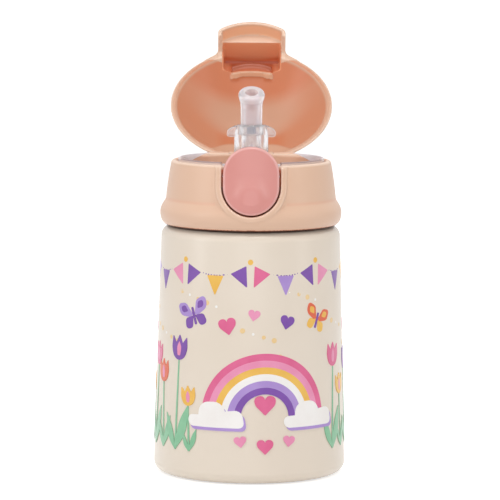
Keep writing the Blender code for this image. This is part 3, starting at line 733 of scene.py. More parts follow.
@dataclass(frozen=True)
class MouldedPlastic:
    """Satin moulded plastic with a fine spark-eroded grain, with painted shade where a hollow is marked,
    painted bounce light where that mark is below zero and a painted highlight on marked convex edges.
    """

    name: str
    colour: Colour
    shade: Colour
    # the fields below hold painted shade colours for marked hollows, a painted bounce-light colour for marks
    # below zero, a painted highlight colour for marked edges, and how strongly painted shade fades that
    # highlight
    inner: Sequence[Colour] = ()
    glow: Colour = BLACK
    glint: Colour = BLACK
    dull: float = 1.6
    rough: float = 0.36
    grain: float = 0.35
    depth: float = 0.008

    def make(self) -> bpy.types.Material:
        """Build the material.

        Returns:
            The material.
        """
        box = Paintbox.material(self.name)
        at = box.place()
        cloud = box.noise(at, 22.0, 3.0)
        grain = box.noise(at, self.grain, 1.0)
        speck = box.noise(at, 1.6, 4.0)
        tone = box.mix(cloud.span(0.35, 0.75) * 0.6, self.colour, self.shade)
        # painted highlight along marked convex edges
        painted_highlight = box.mark(EDGE).limit()
        if self.inner:
            # painted shade: marks below zero mix towards the painted bounce light, marks from zero up step
            # through the painted shade colours, and the painted highlight fades where shade is painted
            inside = box.mark(HOLLOW)
            tone = box.mix((0.0 - inside).limit(), tone, self.glow)
            for index, tint in enumerate(self.inner):
                tone = box.mix((inside - float(index)).limit(), tone, tint)
            painted_highlight = painted_highlight * (1.0 - (inside * self.dull).limit())
        # mix in the painted highlight, broken up by a speck noise
        if self.glint[0] > 0.0:
            tone = box.mix(painted_highlight * (0.42 + 0.3 * speck), tone, self.glint)
        gloss = (grain - 0.5) * 0.1 + (cloud - 0.5) * 0.06 + self.rough
        shader = box.surface({
            "Base Color": tone,
            "Roughness": gloss.limit(),
            "Normal": box.relief(grain * 0.7 + speck * 0.3, self.depth),
            "IOR": 1.49,
        })
        return box.close(shader)


@dataclass(frozen=True)
class Lacquer:
    """Sprayed and baked satin paint with a faint orange peel."""

    name: str
    colour: Colour
    shade: Colour
    rough: float = 0.36

    def make(self) -> bpy.types.Material:
        """Build the material.

        Returns:
            The material.
        """
        box = Paintbox.material(self.name)
        at = box.place()
        cloud = box.noise(at, 30.0, 3.0)
        peel = box.noise(at, 1.3, 2.0)
        flake = box.noise(at, 0.25, 1.0)
        tone = box.mix(cloud.span(0.35, 0.7) * 0.6, self.colour, self.shade)
        gloss = (flake - 0.5) * 0.08 + (cloud - 0.5) * 0.08 + self.rough
        shader = box.surface({
            "Base Color": tone,
            "Roughness": gloss.limit(),
            "Normal": box.relief(peel, 0.008),
            "Coat Weight": 0.3,
            "Coat Roughness": 0.16,
        })
        return box.close(shader)


@dataclass(frozen=True)
class TurnedSteel:
    """Stainless steel with fine lines left by the lathe or the brush."""

    name: str
    colour: Colour
    rough: float = 0.28
    lines: Sequence[float] = (0.02, 0.02, 1.0)
    depth: float = 0.004

    def make(self) -> bpy.types.Material:
        """Build the material.

        Returns:
            The material.
        """
        box = Paintbox.material(self.name)
        lines = box.noise(box.place(self.lines), 0.25, 3.0)
        cloud = box.noise(box.place(), 12.0, 3.0)
        dark = tuple(part * 0.82 for part in self.colour[:3]) + (1.0,)
        shader = box.surface({
            "Base Color": box.mix(lines.span(0.3, 0.8) * 0.5 + cloud * 0.3, self.colour, dark),
            "Roughness": ((lines - 0.5) * 0.22 + (cloud - 0.5) * 0.12 + self.rough).limit(),
            "Metallic": 1.0,
            "Normal": box.relief(lines, self.depth),
        })
        return box.close(shader)


@dataclass(frozen=True)
class MilkySilicone:
    """Soft translucent silicone, whiter where it is thick, with a darker painted shade below a root height
    and a film tint and painted shade line where it is marked.
    """

    name: str
    colour: Colour
    shade: Colour
    rough: float = 0.34
    clear: float = 0.45
    root: Colour = BLACK
    root_z: float = 138.6
    milky: float = 0.3
    film: Colour = BLACK
    line: Colour = BLACK

    def make(self) -> bpy.types.Material:
        """Build the material.

        Returns:
            The material.
        """
        box = Paintbox.material(self.name)
        at = box.place()
        cloud = box.noise(at, 5.0, 3.0)
        skin = box.noise(at, 1.5, 2.0)
        tone = box.mix(cloud.span(0.3, 0.7), self.colour, self.shade)
        # painted shade: a darker, bluer tone below the root height, where the root sits inside the clear
        # holder
        if self.root[0] > 0.0:
            height = box.node("ShaderNodeSeparateXYZ", {}, {0: at}, 2)
            tone = box.mix(1.0 - height.span(self.root_z * MM, (self.root_z + 1.6) * MM), tone, self.root)
        # marked front: a film tint, then a painted shade line along its top
        if self.line[0] > 0.0:
            mark = box.mark(HOLLOW)
            tone = box.mix(mark.span(0.0, 0.5), tone, self.film)
            tone = box.mix(mark.span(0.6, 0.9), tone, self.line)
        shared = {
            "Base Color": tone,
            "Roughness": ((skin - 0.5) * 0.12 + self.rough).limit(),
            "Normal": box.relief(skin, 0.0015),
            "IOR": 1.41,
        }
        shader = box.surface(shared | {"Transmission Weight": self.clear})
        if self.root[0] > 0.0:
            thick = box.surface(shared | {"Transmission Weight": self.milky})
            lip = box.mark(HOLLOW).limit()
            shader = box.node("ShaderNodeMixShader", {}, {0: lip, 1: shader, 2: thick})
        return box.close(shader)


@dataclass(frozen=True)
class ClearPlastic:
    """Clear moulded plastic with faint flow lines."""

    name: str
    colour: Colour
    rough: float = 0.09
    clear: float = 0.92

    def make(self) -> bpy.types.Material:
        """Build the material.

        Returns:
            The material.
        """
        box = Paintbox.material(self.name)
        flow = box.noise(box.place((1.0, 1.0, 0.25)), 2.2, 3.0)
        pale = (0.97, 0.97, 0.98, 1.0)
        shader = box.surface({
            "Base Color": box.mix(flow.span(0.3, 0.75), self.colour, pale),
            "Roughness": ((flow - 0.5) * 0.1 + self.rough).limit(),
            "Normal": box.relief(flow, 0.02),
            "IOR": 1.49,
            "Transmission Weight": self.clear,
        })
        return box.close(shader)


@dataclass(frozen=True)
class PrintInk:
    """Transfer-print ink with a soft tone shift and a fine screen."""

    name: str
    colour: Colour
    shade: Colour
    rough: float = 0.36

    def make(self) -> bpy.types.Material:
        """Build the material.

        Returns:
            The material.
        """
        box = Paintbox.material(self.name)
        at = box.place()
        wash = box.noise(at, 9.0, 3.0)
        screen = box.noise(at, 0.3, 1.0)
        shader = box.surface({
            "Base Color": box.mix(wash.span(0.3, 0.72) * 0.8 + screen * 0.12, self.colour, self.shade),
            "Roughness": ((screen - 0.5) * 0.1 + self.rough).limit(),
            "Normal": box.relief(screen, 0.004),
            "Coat Weight": 0.3,
            "Coat Roughness": 0.18,
        })
        return box.close(shader)


class Finishes:
    """All finishes of the bottle."""

    def __init__(self) -> None:
        """Make each material once."""
        peach = srgb(228, 190, 164)
        peach_shade = srgb(226, 186, 158)
        # peach_glint and pink_glint are painted highlights for edges; glow is painted bounce light in the
        # cover's hood and catch; bowl, upper, recess, nook and shade are painted shade deepening through the
        # cover's bowl, hood and catch; gap and under are painted shade in the button gap and under the
        # collar
        peach_glint = srgb(254, 228, 208)
        glow = srgb(246, 191, 153)
        bowl = srgb(212, 162, 133)
        upper = srgb(210, 125, 84)
        recess = srgb(237, 163, 122)
        nook = srgb(210, 110, 67)
        shade = srgb(160, 74, 42)
        gap = srgb(232, 128, 84)
        under = srgb(84, 40, 24)
        pink = srgb(219, 147, 140)
        pink_shade = srgb(216, 142, 134)
        pink_glint = srgb(250, 204, 198)
        self.cream = Lacquer("cream_lacquer", srgb(231, 218, 202), srgb(228, 214, 197)).make()
        self.peach = MouldedPlastic("peach_moulding", peach, peach_shade).make()
        # painted shade colours for the button gap and the collar's underside
        collar_shades = (gap, under)
        self.collar = MouldedPlastic("collar_moulding", peach, peach_shade, collar_shades, gap, peach_glint).make()
        # painted shade colours for the cover's bowl, hood and catch
        cover_shades = (bowl, upper, recess, nook, shade)
        self.cover = MouldedPlastic(
            "cover_moulding", peach, peach_shade, cover_shades, glow, peach_glint, 1.2,
        ).make()
        self.pink = MouldedPlastic("pink_moulding", pink, pink_shade, glint=pink_glint, rough=0.34).make()
        self.steel = TurnedSteel("liner_steel", srgb(203, 202, 200)).make()
        self.pin_steel = TurnedSteel("pin_steel", srgb(196, 196, 198), 0.22, (1.0, 0.04, 0.04)).make()
        self.getter = TurnedSteel("getter_metal", srgb(140, 140, 146), 0.5).make()
        self.spring = TurnedSteel("spring_wire", srgb(182, 182, 186), 0.25, (1.0, 1.0, 1.0)).make()
        milk = srgb(252, 247, 249)
        milk_shade = srgb(248, 241, 244)
        self.silicone = MilkySilicone("milky_silicone", milk, milk_shade, 0.3, 0.45).make()
        # the tip's root colour is a darker, bluer painted shade inside the clear holder
        self.tip = MilkySilicone("tip_silicone", milk, milk_shade, 0.14, 0.78, srgb(128, 134, 178)).make()
        # the seal's front gets a film tint and a painted shade line along its top
        seal_tints = {"film": srgb(244, 224, 215), "line": srgb(187, 163, 162)}
        seal_white = srgb(246, 241, 245)
        seal_shade = srgb(240, 234, 239)
        self.seal = MilkySilicone("seal_silicone", seal_white, seal_shade, 0.38, 0.15, **seal_tints).make()
        self.pad = MilkySilicone("pad_silicone", srgb(221, 205, 188), srgb(214, 197, 180), 0.6, 0.0).make()
        self.clear = ClearPlastic("clear_moulding", srgb(250, 248, 252), 0.1, 0.76).make()
        self.straw = ClearPlastic("straw_tube", srgb(236, 236, 238), 0.2, 0.55).make()


# Sub-assemblies
@dataclass
class Flask:
    """Vacuum flask: painted shell, steel liner, pan, getter and foot pad."""

    finishes: Finishes
    low_r: float = 38.6
    high_r: float = 35.8
    wall: float = 0.6
    shoulder_z: float = 99.8
    shoulder_fillet: float = 4.0
    foot_fillet: float = 4.5
    foot_z: float = 0.4
    flange_r: float = 31.0
    neck_r: float = 26.5
    thread_r: float = 27.05
    neck_top: float = 113.7
    thread_z: float = 103.4
    thread_pitch: float = 4.2
    thread_turns: float = 1.6
    liner_gap: float = 2.2
    floor_z: float = 6.0
    lip_z: float = 114.6
    pad_high: float = 1.3
    grooves: Sequence[float] = (26.0, 18.0)
    groove_deep: float = 0.4
    getter_r: float = 5.0
    getter_low: float = 2.5
    getter_top: float = 4.3

    def shell(self) -> Sculpt:
        """Shape the outer shell with its rolled neck thread.

        Returns:
            The shape.
        """
        w = self.wall
        neck_in = self.neck_r - 0.25
        profile = [
            (self.neck_r, self.neck_top),
            (self.neck_r, self.shoulder_z, 1.4),
            (self.high_r, self.shoulder_z, self.shoulder_fillet),
            (self.low_r, self.foot_z, self.foot_fillet),
            (self.flange_r, self.foot_z, 0.6),
            (self.flange_r, self.foot_z + 3.6),
            (self.flange_r + w, self.foot_z + 3.6),
            (self.flange_r + w, self.foot_z + w, 0.4),
            (self.low_r - w, self.foot_z + w, self.foot_fillet - w),
            (self.high_r - w, self.shoulder_z - w, self.shoulder_fillet - w),
            (neck_in, self.shoulder_z - w, 1.2),
            (neck_in, self.neck_top),
        ]
        shape = Sculpt.turned(profile, segments=10)
        return shape.add(self.thread())

    def thread(self) -> Sculpt:
        """Shape the raised thread of the neck.

        Returns:
            The shape.
        """
        root = self.neck_r - 0.1
        section = [(root, -1.0), (self.thread_r, -0.4, 0.2), (self.thread_r, 0.4, 0.2), (root, 1.0)]
        turns = self.thread_turns
        rise = self.thread_pitch * turns
        coil = Sculpt.turned(section, True, int(96 * turns), 360.0 * turns, 0.0, rise, 2)
        return coil.shift(z=self.thread_z)

    def liner(self) -> Sculpt:
        """Shape the inner cup with its rolled lip.

        Returns:
            The shape.
        """
        w = self.wall
        low = self.low_r - w - self.liner_gap
        high = self.high_r - w - self.liner_gap
        turn_z = self.shoulder_z - w - 1.0
        neck_out = self.neck_r - 0.4
        neck_in = neck_out - w
        lip_r = self.neck_r + 0.5
        profile = [
            (0.0, self.floor_z + w),
            (low - w, self.floor_z + w, 5.4),
            (high - w, turn_z - w, 2.7),
            (neck_in, turn_z - w, 1.4),
            (neck_in, self.lip_z, 0.28),
            (lip_r, self.lip_z, 0.28),
            (lip_r, self.neck_top + 0.3),
            (neck_out, self.neck_top + 0.3),
            (neck_out, turn_z, 1.6),
            (high, turn_z, 3.3),
            (low, self.floor_z, 6.0),
            (0.0, self.floor_z),
        ]
        return Sculpt.turned(profile, False, segments=10)

    def pad(self) -> Sculpt:
        """Shape the foot pad with two grip grooves.

        Returns:
            The shape.
        """
        edge = self.flange_r - 0.3
        deep = self.groove_deep
        profile = [(0.0, self.pad_high), (edge, self.pad_high, 0.2), (edge, 0.0, 0.5)]
        for groove in self.grooves:
            profile += [(groove + 0.9, 0.0, 0.15), (groove + 0.5, deep, 0.15)]
            profile += [(groove - 0.5, deep, 0.15), (groove - 0.9, 0.0, 0.15)]
        profile.append((0.0, 0.0))
        return Sculpt.turned(profile, False, segments=4)

    def pan(self) -> Sculpt:
        """Shape the base pan that closes the shell.

        Returns:
            The shape.
        """
        edge = self.flange_r - 0.3
        low = self.foot_z + 1.2
        profile = [(0.0, low + 0.6), (edge, low + 0.6, 0.15), (edge, low, 0.15), (0.0, low)]
        return Sculpt.turned(profile, False, segments=4)

    def build(self) -> None:
        """Set the flask's pieces down."""
        kit = self.finishes
        set_piece("flask_shell", self.shell(), kit.cream, Body.BOTTLE, ["outer_shell"])
        set_piece("flask_liner", self.liner(), kit.steel, Body.BOTTLE, ["inner_liner"])
        set_piece("flask_pad", self.pad(), kit.pad, Body.BOTTLE, ["base_pad"])
        set_piece("flask_pan", self.pan(), kit.steel, Body.BOTTLE, ["base_pan"])
        getter = [
            (0.0, self.getter_top), (self.getter_r, self.getter_top, 0.5),
            (self.getter_r, self.getter_low, 0.3), (0.0, self.getter_low),
        ]
        pill = Sculpt.turned(getter, False, 64)
        set_piece("flask_getter", pill, kit.getter, Body.BOTTLE, ["vacuum_getter"])


@dataclass
class Collar:
    """Lid collar with the button frame, the button pocket and the hinge ears."""

    finishes: Finishes
    low_z: float = 100.2
    rim_z: float = 126.0
    top_r: float = 31.9
    waist_r: float = 33.3
    waist_z: float = 118.4
    crease_r: float = 34.15
    crease_z: float = 110.4
    bulge_r: float = 36.2
    bore_r: float = 28.9
    bore_top_r: float = 29.6
    deck_z: float = 119.4
    pocket_r: float = 11.7
    pocket_z: float = 117.9
    pocket_drop: float = 0.4
    floor_r: float = 29.8
    band: float = 2.35
    arm_round: float = 1.4
    frame_top_r: float = 33.5
    frame_mid_r: float = 36.0
    frame_low_r: float = 36.9
    frame_mid_z: float = 111.9
    frame_low_z: float = 105.0
    pin_y: float = -29.0
    pin_z: float = 121.8
    pin_r: float = 1.1
    hinge_y: float = 32.0
    hinge_z: float = 125.1
    hinge_bore: float = 1.3
    ear_r: float = 1.6
    ear_half: float = 18.5
    land_top: float = 16.0
    land_low: float = 22.6
    slot_half: float = 9.2
    skin: float = 0.42

    def ring(self) -> Sculpt:
        """Shape the turned ring of the collar.

        Returns:
            The shape.
        """
        profile = [
            (self.top_r, self.rim_z, 0.7),
            (self.waist_r, self.waist_z, 4.0),
            (self.crease_r, self.crease_z),
            (self.bulge_r - 0.6, self.crease_z - 2.2, 0.9),
            (self.bulge_r + 0.2, self.crease_z - 4.0, 1.0),
            (self.bulge_r + 0.2, self.low_z + 3.0, 1.4),
            (self.bulge_r - 0.7, self.low_z + 1.1, 0.8),
            (self.bulge_r - 2.0, self.low_z, 0.4),
            (self.bore_r, self.low_z, 0.5),
            (self.bore_r, self.deck_z),
            (self.bore_top_r, self.deck_z),
            (self.bore_top_r, self.rim_z, 0.4),
        ]
        return Sculpt.turned(profile, True, FINE_STEPS, segments=10)

    def frame_radius(self, z: float) -> float:
        """Radius of the frame's front at a height.

        Args:
            z: the height.

        Returns:
            The radius.
        """
        mid_z = self.frame_mid_z
        if z >= mid_z:
            share = (z - mid_z) / (self.rim_z - mid_z)
            return self.frame_mid_r + (self.frame_top_r - self.frame_mid_r) * share
        share = min(1.0, (mid_z - z) / (mid_z - self.frame_low_z))
        return self.frame_mid_r + (self.frame_low_r - self.frame_mid_r) * share * (2.0 - share)

    def frame(self) -> Sculpt:
        """Shape the raised U round the button, spun half round, drawn up on both sides and wrapped.

        Returns:
            The shape.
        """
        inner = self.pocket_r
        outer = inner + self.band
        top = self.rim_z - 0.1
        section = [(inner, -5.5), (inner, -0.15, 0.45), (outer, -0.15, 0.5), (outer, -5.5)]
        shape = Sculpt().wire(section, True, 5)
        shape.turn(90.0, "X").shift(z=self.pocket_z)
        bm = shape.bm
        bmesh.ops.spin(
            bm, geom=bm.verts[:] + bm.edges[:], cent=(0, 0, self.pocket_z), axis=(0, 1, 0),
            angle=math.pi, steps=56, use_merge=False,
        )
        steps = 18
        for side in (1.0, -1.0):
            ends = [
                edge for edge in bm.edges
                if edge.is_boundary and all(side * vert.co.x > 0.0 for vert in edge.verts)
                and all(abs(vert.co.z - self.pocket_z) < 0.01 for vert in edge.verts)
            ]
            for _ in range(steps):
                ends = shape.grow(ends)
                moved = list({vert for edge in ends for vert in edge.verts})
                bmesh.ops.translate(bm, verts=moved, vec=(0.0, 0.0, (top - self.pocket_z) / steps))
        bmesh.ops.holes_fill(bm, edges=bm.edges, sides=0)

        def wrap(point: Vector) -> Vector:
            """Lay a flat point on the frame's front."""
            radius = self.frame_radius(point.z) - point.y - round_off(top - point.z, self.arm_round)
            return Vector((point.x, -math.sqrt(radius * radius - point.x * point.x), point.z))

        return shape.mould(wrap).tidy()

    def pocket(self) -> Sculpt:
        """Shape the room that the button moves in.

        Returns:
            The shape.
        """
        r = self.pocket_r
        low = self.pocket_z - self.pocket_drop
        outline = [(r, FAR_UP), (-r, FAR_UP), (-r, low - r, r), (r, low - r, r)]
        room = Sculpt.slab(outline, Plane.XZ, -FAR_OUT, -16.0, 24)
        floor = Sculpt.post(self.floor_r, FAR_DOWN, self.deck_z - 0.8)
        return room.combine(floor, Join.CUT)

    def ears(self) -> Sculpt:
        """Shape the rear land that carries the hinge pin, with its sloped ends.

        Returns:
            The shape.
        """
        y = self.hinge_y
        z = self.hinge_z
        r = self.ear_r
        side = [
            (y + r, z + r, r), (y - r, z + r, r), (y - r, self.rim_z - 0.15), (20.0, self.rim_z - 0.15),
            (20.0, z - 9.0), (y - 1.6, z - 9.0), (y + r, z - 3.6, 1.0),
        ]
        land = Sculpt.slab(side, Plane.YZ, -self.land_low - 0.4, self.land_low + 0.4, 10)
        slope = [
            (self.land_top, z + r + 0.1, 1.2), (self.land_low, z + 0.3, 0.5), (self.land_low, z - 20.0),
            (40.0, z - 20.0), (40.0, z + 9.0), (self.land_top, z + 9.0),
        ]
        for sign in (-1.0, 1.0):
            land.combine(Sculpt.slab(mirrored(slope, sign), Plane.XZ, 10.0, FAR_OUT), Join.CUT)
        return land.combine(Sculpt.post(self.bore_top_r, FAR_DOWN, FAR_UP, FINE_STEPS), Join.CUT)

    def cheek(self, sign: float) -> Sculpt:
        """Shape the wall behind the gap beside the button.

        Args:
            sign: 1 for the side of +X, -1 for the other.

        Returns:
            The shape.
        """
        near, far = sorted((sign * (self.pocket_r - 0.9), sign * (self.pocket_r + 2.2)))
        low = (near, self.pin_y - 1.2, self.deck_z - 1.6)
        return Sculpt.block(low, (far, self.pin_y + 1.4, self.rim_z - 0.3))

    def mark_gap(self, shape: Sculpt) -> None:
        """Mark painted shade on the walls of the gap round the button, along the crease, on the collar's
        underside and on the rear land, and a painted highlight on the rim's edge.

        Args:
            shape: the collar's skin, with its edges marked.
        """
        layer = shape.bm.verts.layers.float.new(HOLLOW)
        edge = shape.bm.verts.layers.float[EDGE]
        for vert in shape.bm.verts:
            x, y, z = vert.co
            radius = math.hypot(x, y)
            side = math.hypot(x, min(0.0, z - self.pocket_z + self.pocket_drop))
            deep = self.frame_radius(z) - radius
            in_gap = y < -20.0 and side < self.pocket_r + 0.2 and z < self.rim_z - 1.6
            mark = 0.0
            # painted shade on the gap walls, deeper towards the pin
            if in_gap and radius > self.floor_r + 0.6:
                mark = ramp(deep, 0.7, 0.8)
                mark += 0.5 * mark * ramp(z, self.pin_z - 1.0, 2.0)
            # a thin painted shade line along the crease
            if radius > self.crease_r - 0.6 and (y > 0.0 or abs(x) > self.pocket_r + self.band):
                mark = 0.16 * peak(z, self.crease_z + 0.4, 0.9)
            # painted shade under the collar, at the seam
            if z < self.low_z + 0.8 and radius < self.bulge_r - 1.3:
                mark = 2.0
            # light painted shade on the rear land
            if y > 0.0 and z > self.deck_z and (radius < self.bore_top_r + 0.5 or z > self.rim_z + 0.1):
                mark = 0.12
            # painted highlight along the rim's top edge
            if radius > self.top_r - 1.3 and z < self.rim_z + 0.1:
                vert[edge] = max(vert[edge], ramp(z, self.rim_z - 1.0, 0.5))
            vert[layer] = mark

    def build(self) -> None:
        """Set the collar down."""
        y = self.hinge_y
        z = self.hinge_z
        half = self.slot_half
        ring = self.ring().combine(self.pocket(), Join.CUT)
        ears = self.ears()
        band = self.frame()
        slot = Sculpt.peg(self.ear_r + 0.5, -half, half, y, z)
        back = Sculpt.block((-half, y, z - self.ear_r - 0.6), (half, y + 9.0, z + 9.0))
        bore = Sculpt.peg(self.hinge_bore, -self.ear_half + 0.8, self.ear_half - 0.8, y, z)
        for part in (ring, ears):
            for tool in (slot, back, bore):
                part.combine(tool, Join.CUT)
        pin = Sculpt.peg(self.pin_r, -self.pocket_r - 1.7, self.pocket_r + 1.7, self.pin_y, self.pin_z)
        cheeks = self.cheek(1.0).add(self.cheek(-1.0))
        for part in (ring, band, cheeks):
            part.combine(pin, Join.CUT)
        ring.add(ears, band, cheeks).cast(self.skin, 2).mark_edges()
        self.mark_gap(ring)
        paint = self.finishes.collar
        set_piece("lid_collar_moulding", ring, paint, Body.LID, ["lid_collar"], NO_CREASE)


@dataclass
class LidCore:
    """Inner lid with its thread, its seals and the air valve."""

    finishes: Finishes
    collar: Collar
    skirt_r: float = 28.6
    skirt_in: float = 27.75
    thread_r: float = 27.15
    skirt_low: float = 102.0
    deck_low: float = 117.4
    hole_r: float = 7.05
    groove_r: float = 9.25
    flange_z: float = 119.7
    rim_top: float = 127.0
    rim_out: float = 29.2
    rim_wide: float = 1.3
    # height of the painted shade line along the seal's top
    line_high: float = 0.5
    low_rise: float = 2.5
    front_gap: float = 11.7
    rear_gap: float = 17.0
    tail_x: float = 19.0
    tail_z: float = 122.4
    vent_y: float = 18.0
    thread_z: float = 104.0
    thread_rise: float = 6.5
    seal_in: float = 24.6
    seal_out: float = 27.0
    seal_low: float = 114.9
    seal_top: float = 117.1
    cord_r: float = 8.25
    cord_z: float = 119.15
    cord_wire: float = 0.5

    def core(self) -> Sculpt:
        """Shape the deck and the threaded skirt.

        Returns:
            The shape.
        """
        deck_z = self.collar.deck_z
        profile = [
            (self.hole_r, deck_z - 1.0),
            (self.groove_r, deck_z - 1.0),
            (self.groove_r, deck_z, 0.2),
            (self.skirt_r, deck_z, 0.4),
            (self.skirt_r, self.skirt_low, 0.3),
            (self.skirt_in, self.skirt_low, 0.3),
            (self.skirt_in, self.deck_low, 0.6),
            (self.hole_r, self.deck_low),
        ]
        root = self.skirt_in + 0.1
        section = [(root, -0.8), (root, 0.8), (self.thread_r, 0.3, 0.15), (self.thread_r, -0.3, 0.15)]
        thread = Sculpt.turned(section, True, 150, 560.0, 40.0, self.thread_rise, 2)
        return Sculpt.turned(profile, True).add(thread.shift(z=self.thread_z))

    def seal_mark(self, point: Vector) -> float:
        """Mark the rim seal's front: a clear film, with a painted shade line along its top."""
        level = 1.0 if point.z > self.rim_top - self.line_high else 0.5
        return level * ramp(-point.y, 4.0, 5.0)

    def rim_seal(self) -> Sculpt:
        """Shape the rim seal: two tall arcs on a low ring that is open at the button.

        Returns:
            The shape.
        """
        rim_in = self.rim_out - self.rim_wide
        mid = 0.5 * (self.rim_out + rim_in)
        front = math.degrees(math.asin(self.front_gap / mid))
        rear = math.degrees(math.asin(self.rear_gap / mid))
        # the seal's profile has a corner at the lower edge of the painted shade line
        line_z = self.rim_top - self.line_high
        low_top = self.flange_z + self.low_rise
        tall = [
            (rim_in, self.flange_z), (rim_in, self.rim_top - 1.0), (rim_in + 0.25, self.rim_top, 0.3),
            (self.rim_out, self.rim_top, 0.3), (self.rim_out, line_z + 0.05),
            (self.rim_out, line_z - 0.05), (self.rim_out, self.flange_z),
        ]
        low = [
            (rim_in, self.flange_z), (rim_in, low_top, 0.3),
            (self.rim_out, low_top, 0.3), (self.rim_out, self.flange_z),
        ]
        shape = Sculpt.turned(low, True, 150, 360.0 - 2.0 * front, -90.0 + front, 0.0, 4)
        sweep = 180.0 - front - rear
        below = [
            (10.0, self.rim_top + 1.0), (self.tail_x, self.rim_top - 0.4), (29.0, self.tail_z),
            (29.0, self.flange_z - 1.0), (10.0, self.flange_z - 1.0),
        ]
        for sign, start in ((1.0, -90.0 + front), (-1.0, 90.0 + rear)):
            arc = Sculpt.turned(tall, True, 90, sweep, start, 0.0, 4)
            knife = Sculpt.slab(mirrored(below, sign), Plane.XZ, 3.0, 40.0)
            shape.add(arc.combine(knife, Join.CUT))
        return shape.mark(HOLLOW, self.seal_mark)

    def valve(self) -> Sculpt:
        """Shape the mushroom air valve.

        Returns:
            The shape.
        """
        cap = self.collar.deck_z + 0.3
        bulb = self.deck_low - 0.3
        profile = [
            (0.0, cap + 1.0), (2.0, cap + 0.95, 0.6), (3.2, cap + 0.25, 0.3), (3.2, cap, 0.08),
            (1.2, cap), (1.2, bulb), (2.0, bulb, 0.15), (2.0, bulb - 0.7, 0.3),
            (0.9, bulb - 2.4, 0.3), (0.0, bulb - 2.4),
        ]
        return Sculpt.turned(profile, False, 48, segments=4).shift(y=self.vent_y)

    def build(self) -> None:
        """Set the inner lid's pieces down."""
        kit = self.finishes
        set_piece("lid_core_moulding", self.core(), kit.peach, Body.LID, ["lid_core"])
        set_piece("rim_seal_ring", self.rim_seal(), kit.seal, Body.LID, ["rim_seal"])
        set_piece("air_valve", self.valve(), kit.silicone, Body.LID, ["vent_valve"])
        seal = [
            (self.seal_in, self.seal_top, 0.5), (self.seal_out, self.seal_top, 0.3),
            (self.seal_out, self.seal_low, 0.3), (self.seal_in, self.seal_low, 0.5),
            (self.seal_in + 0.6, 0.5 * (self.seal_low + self.seal_top), 0.4),
        ]
        ring = Sculpt.turned(seal, True, segments=4)
        set_piece("neck_seal_ring", ring, kit.seal, Body.SEAL_RING, ["lid_seal"])
        cord = Sculpt.turned(round_wire(self.cord_r, self.cord_wire, self.cord_z), True, 96)
        set_piece("spout_seal_ring", cord, kit.silicone, Body.LID, ["spout_seal"])


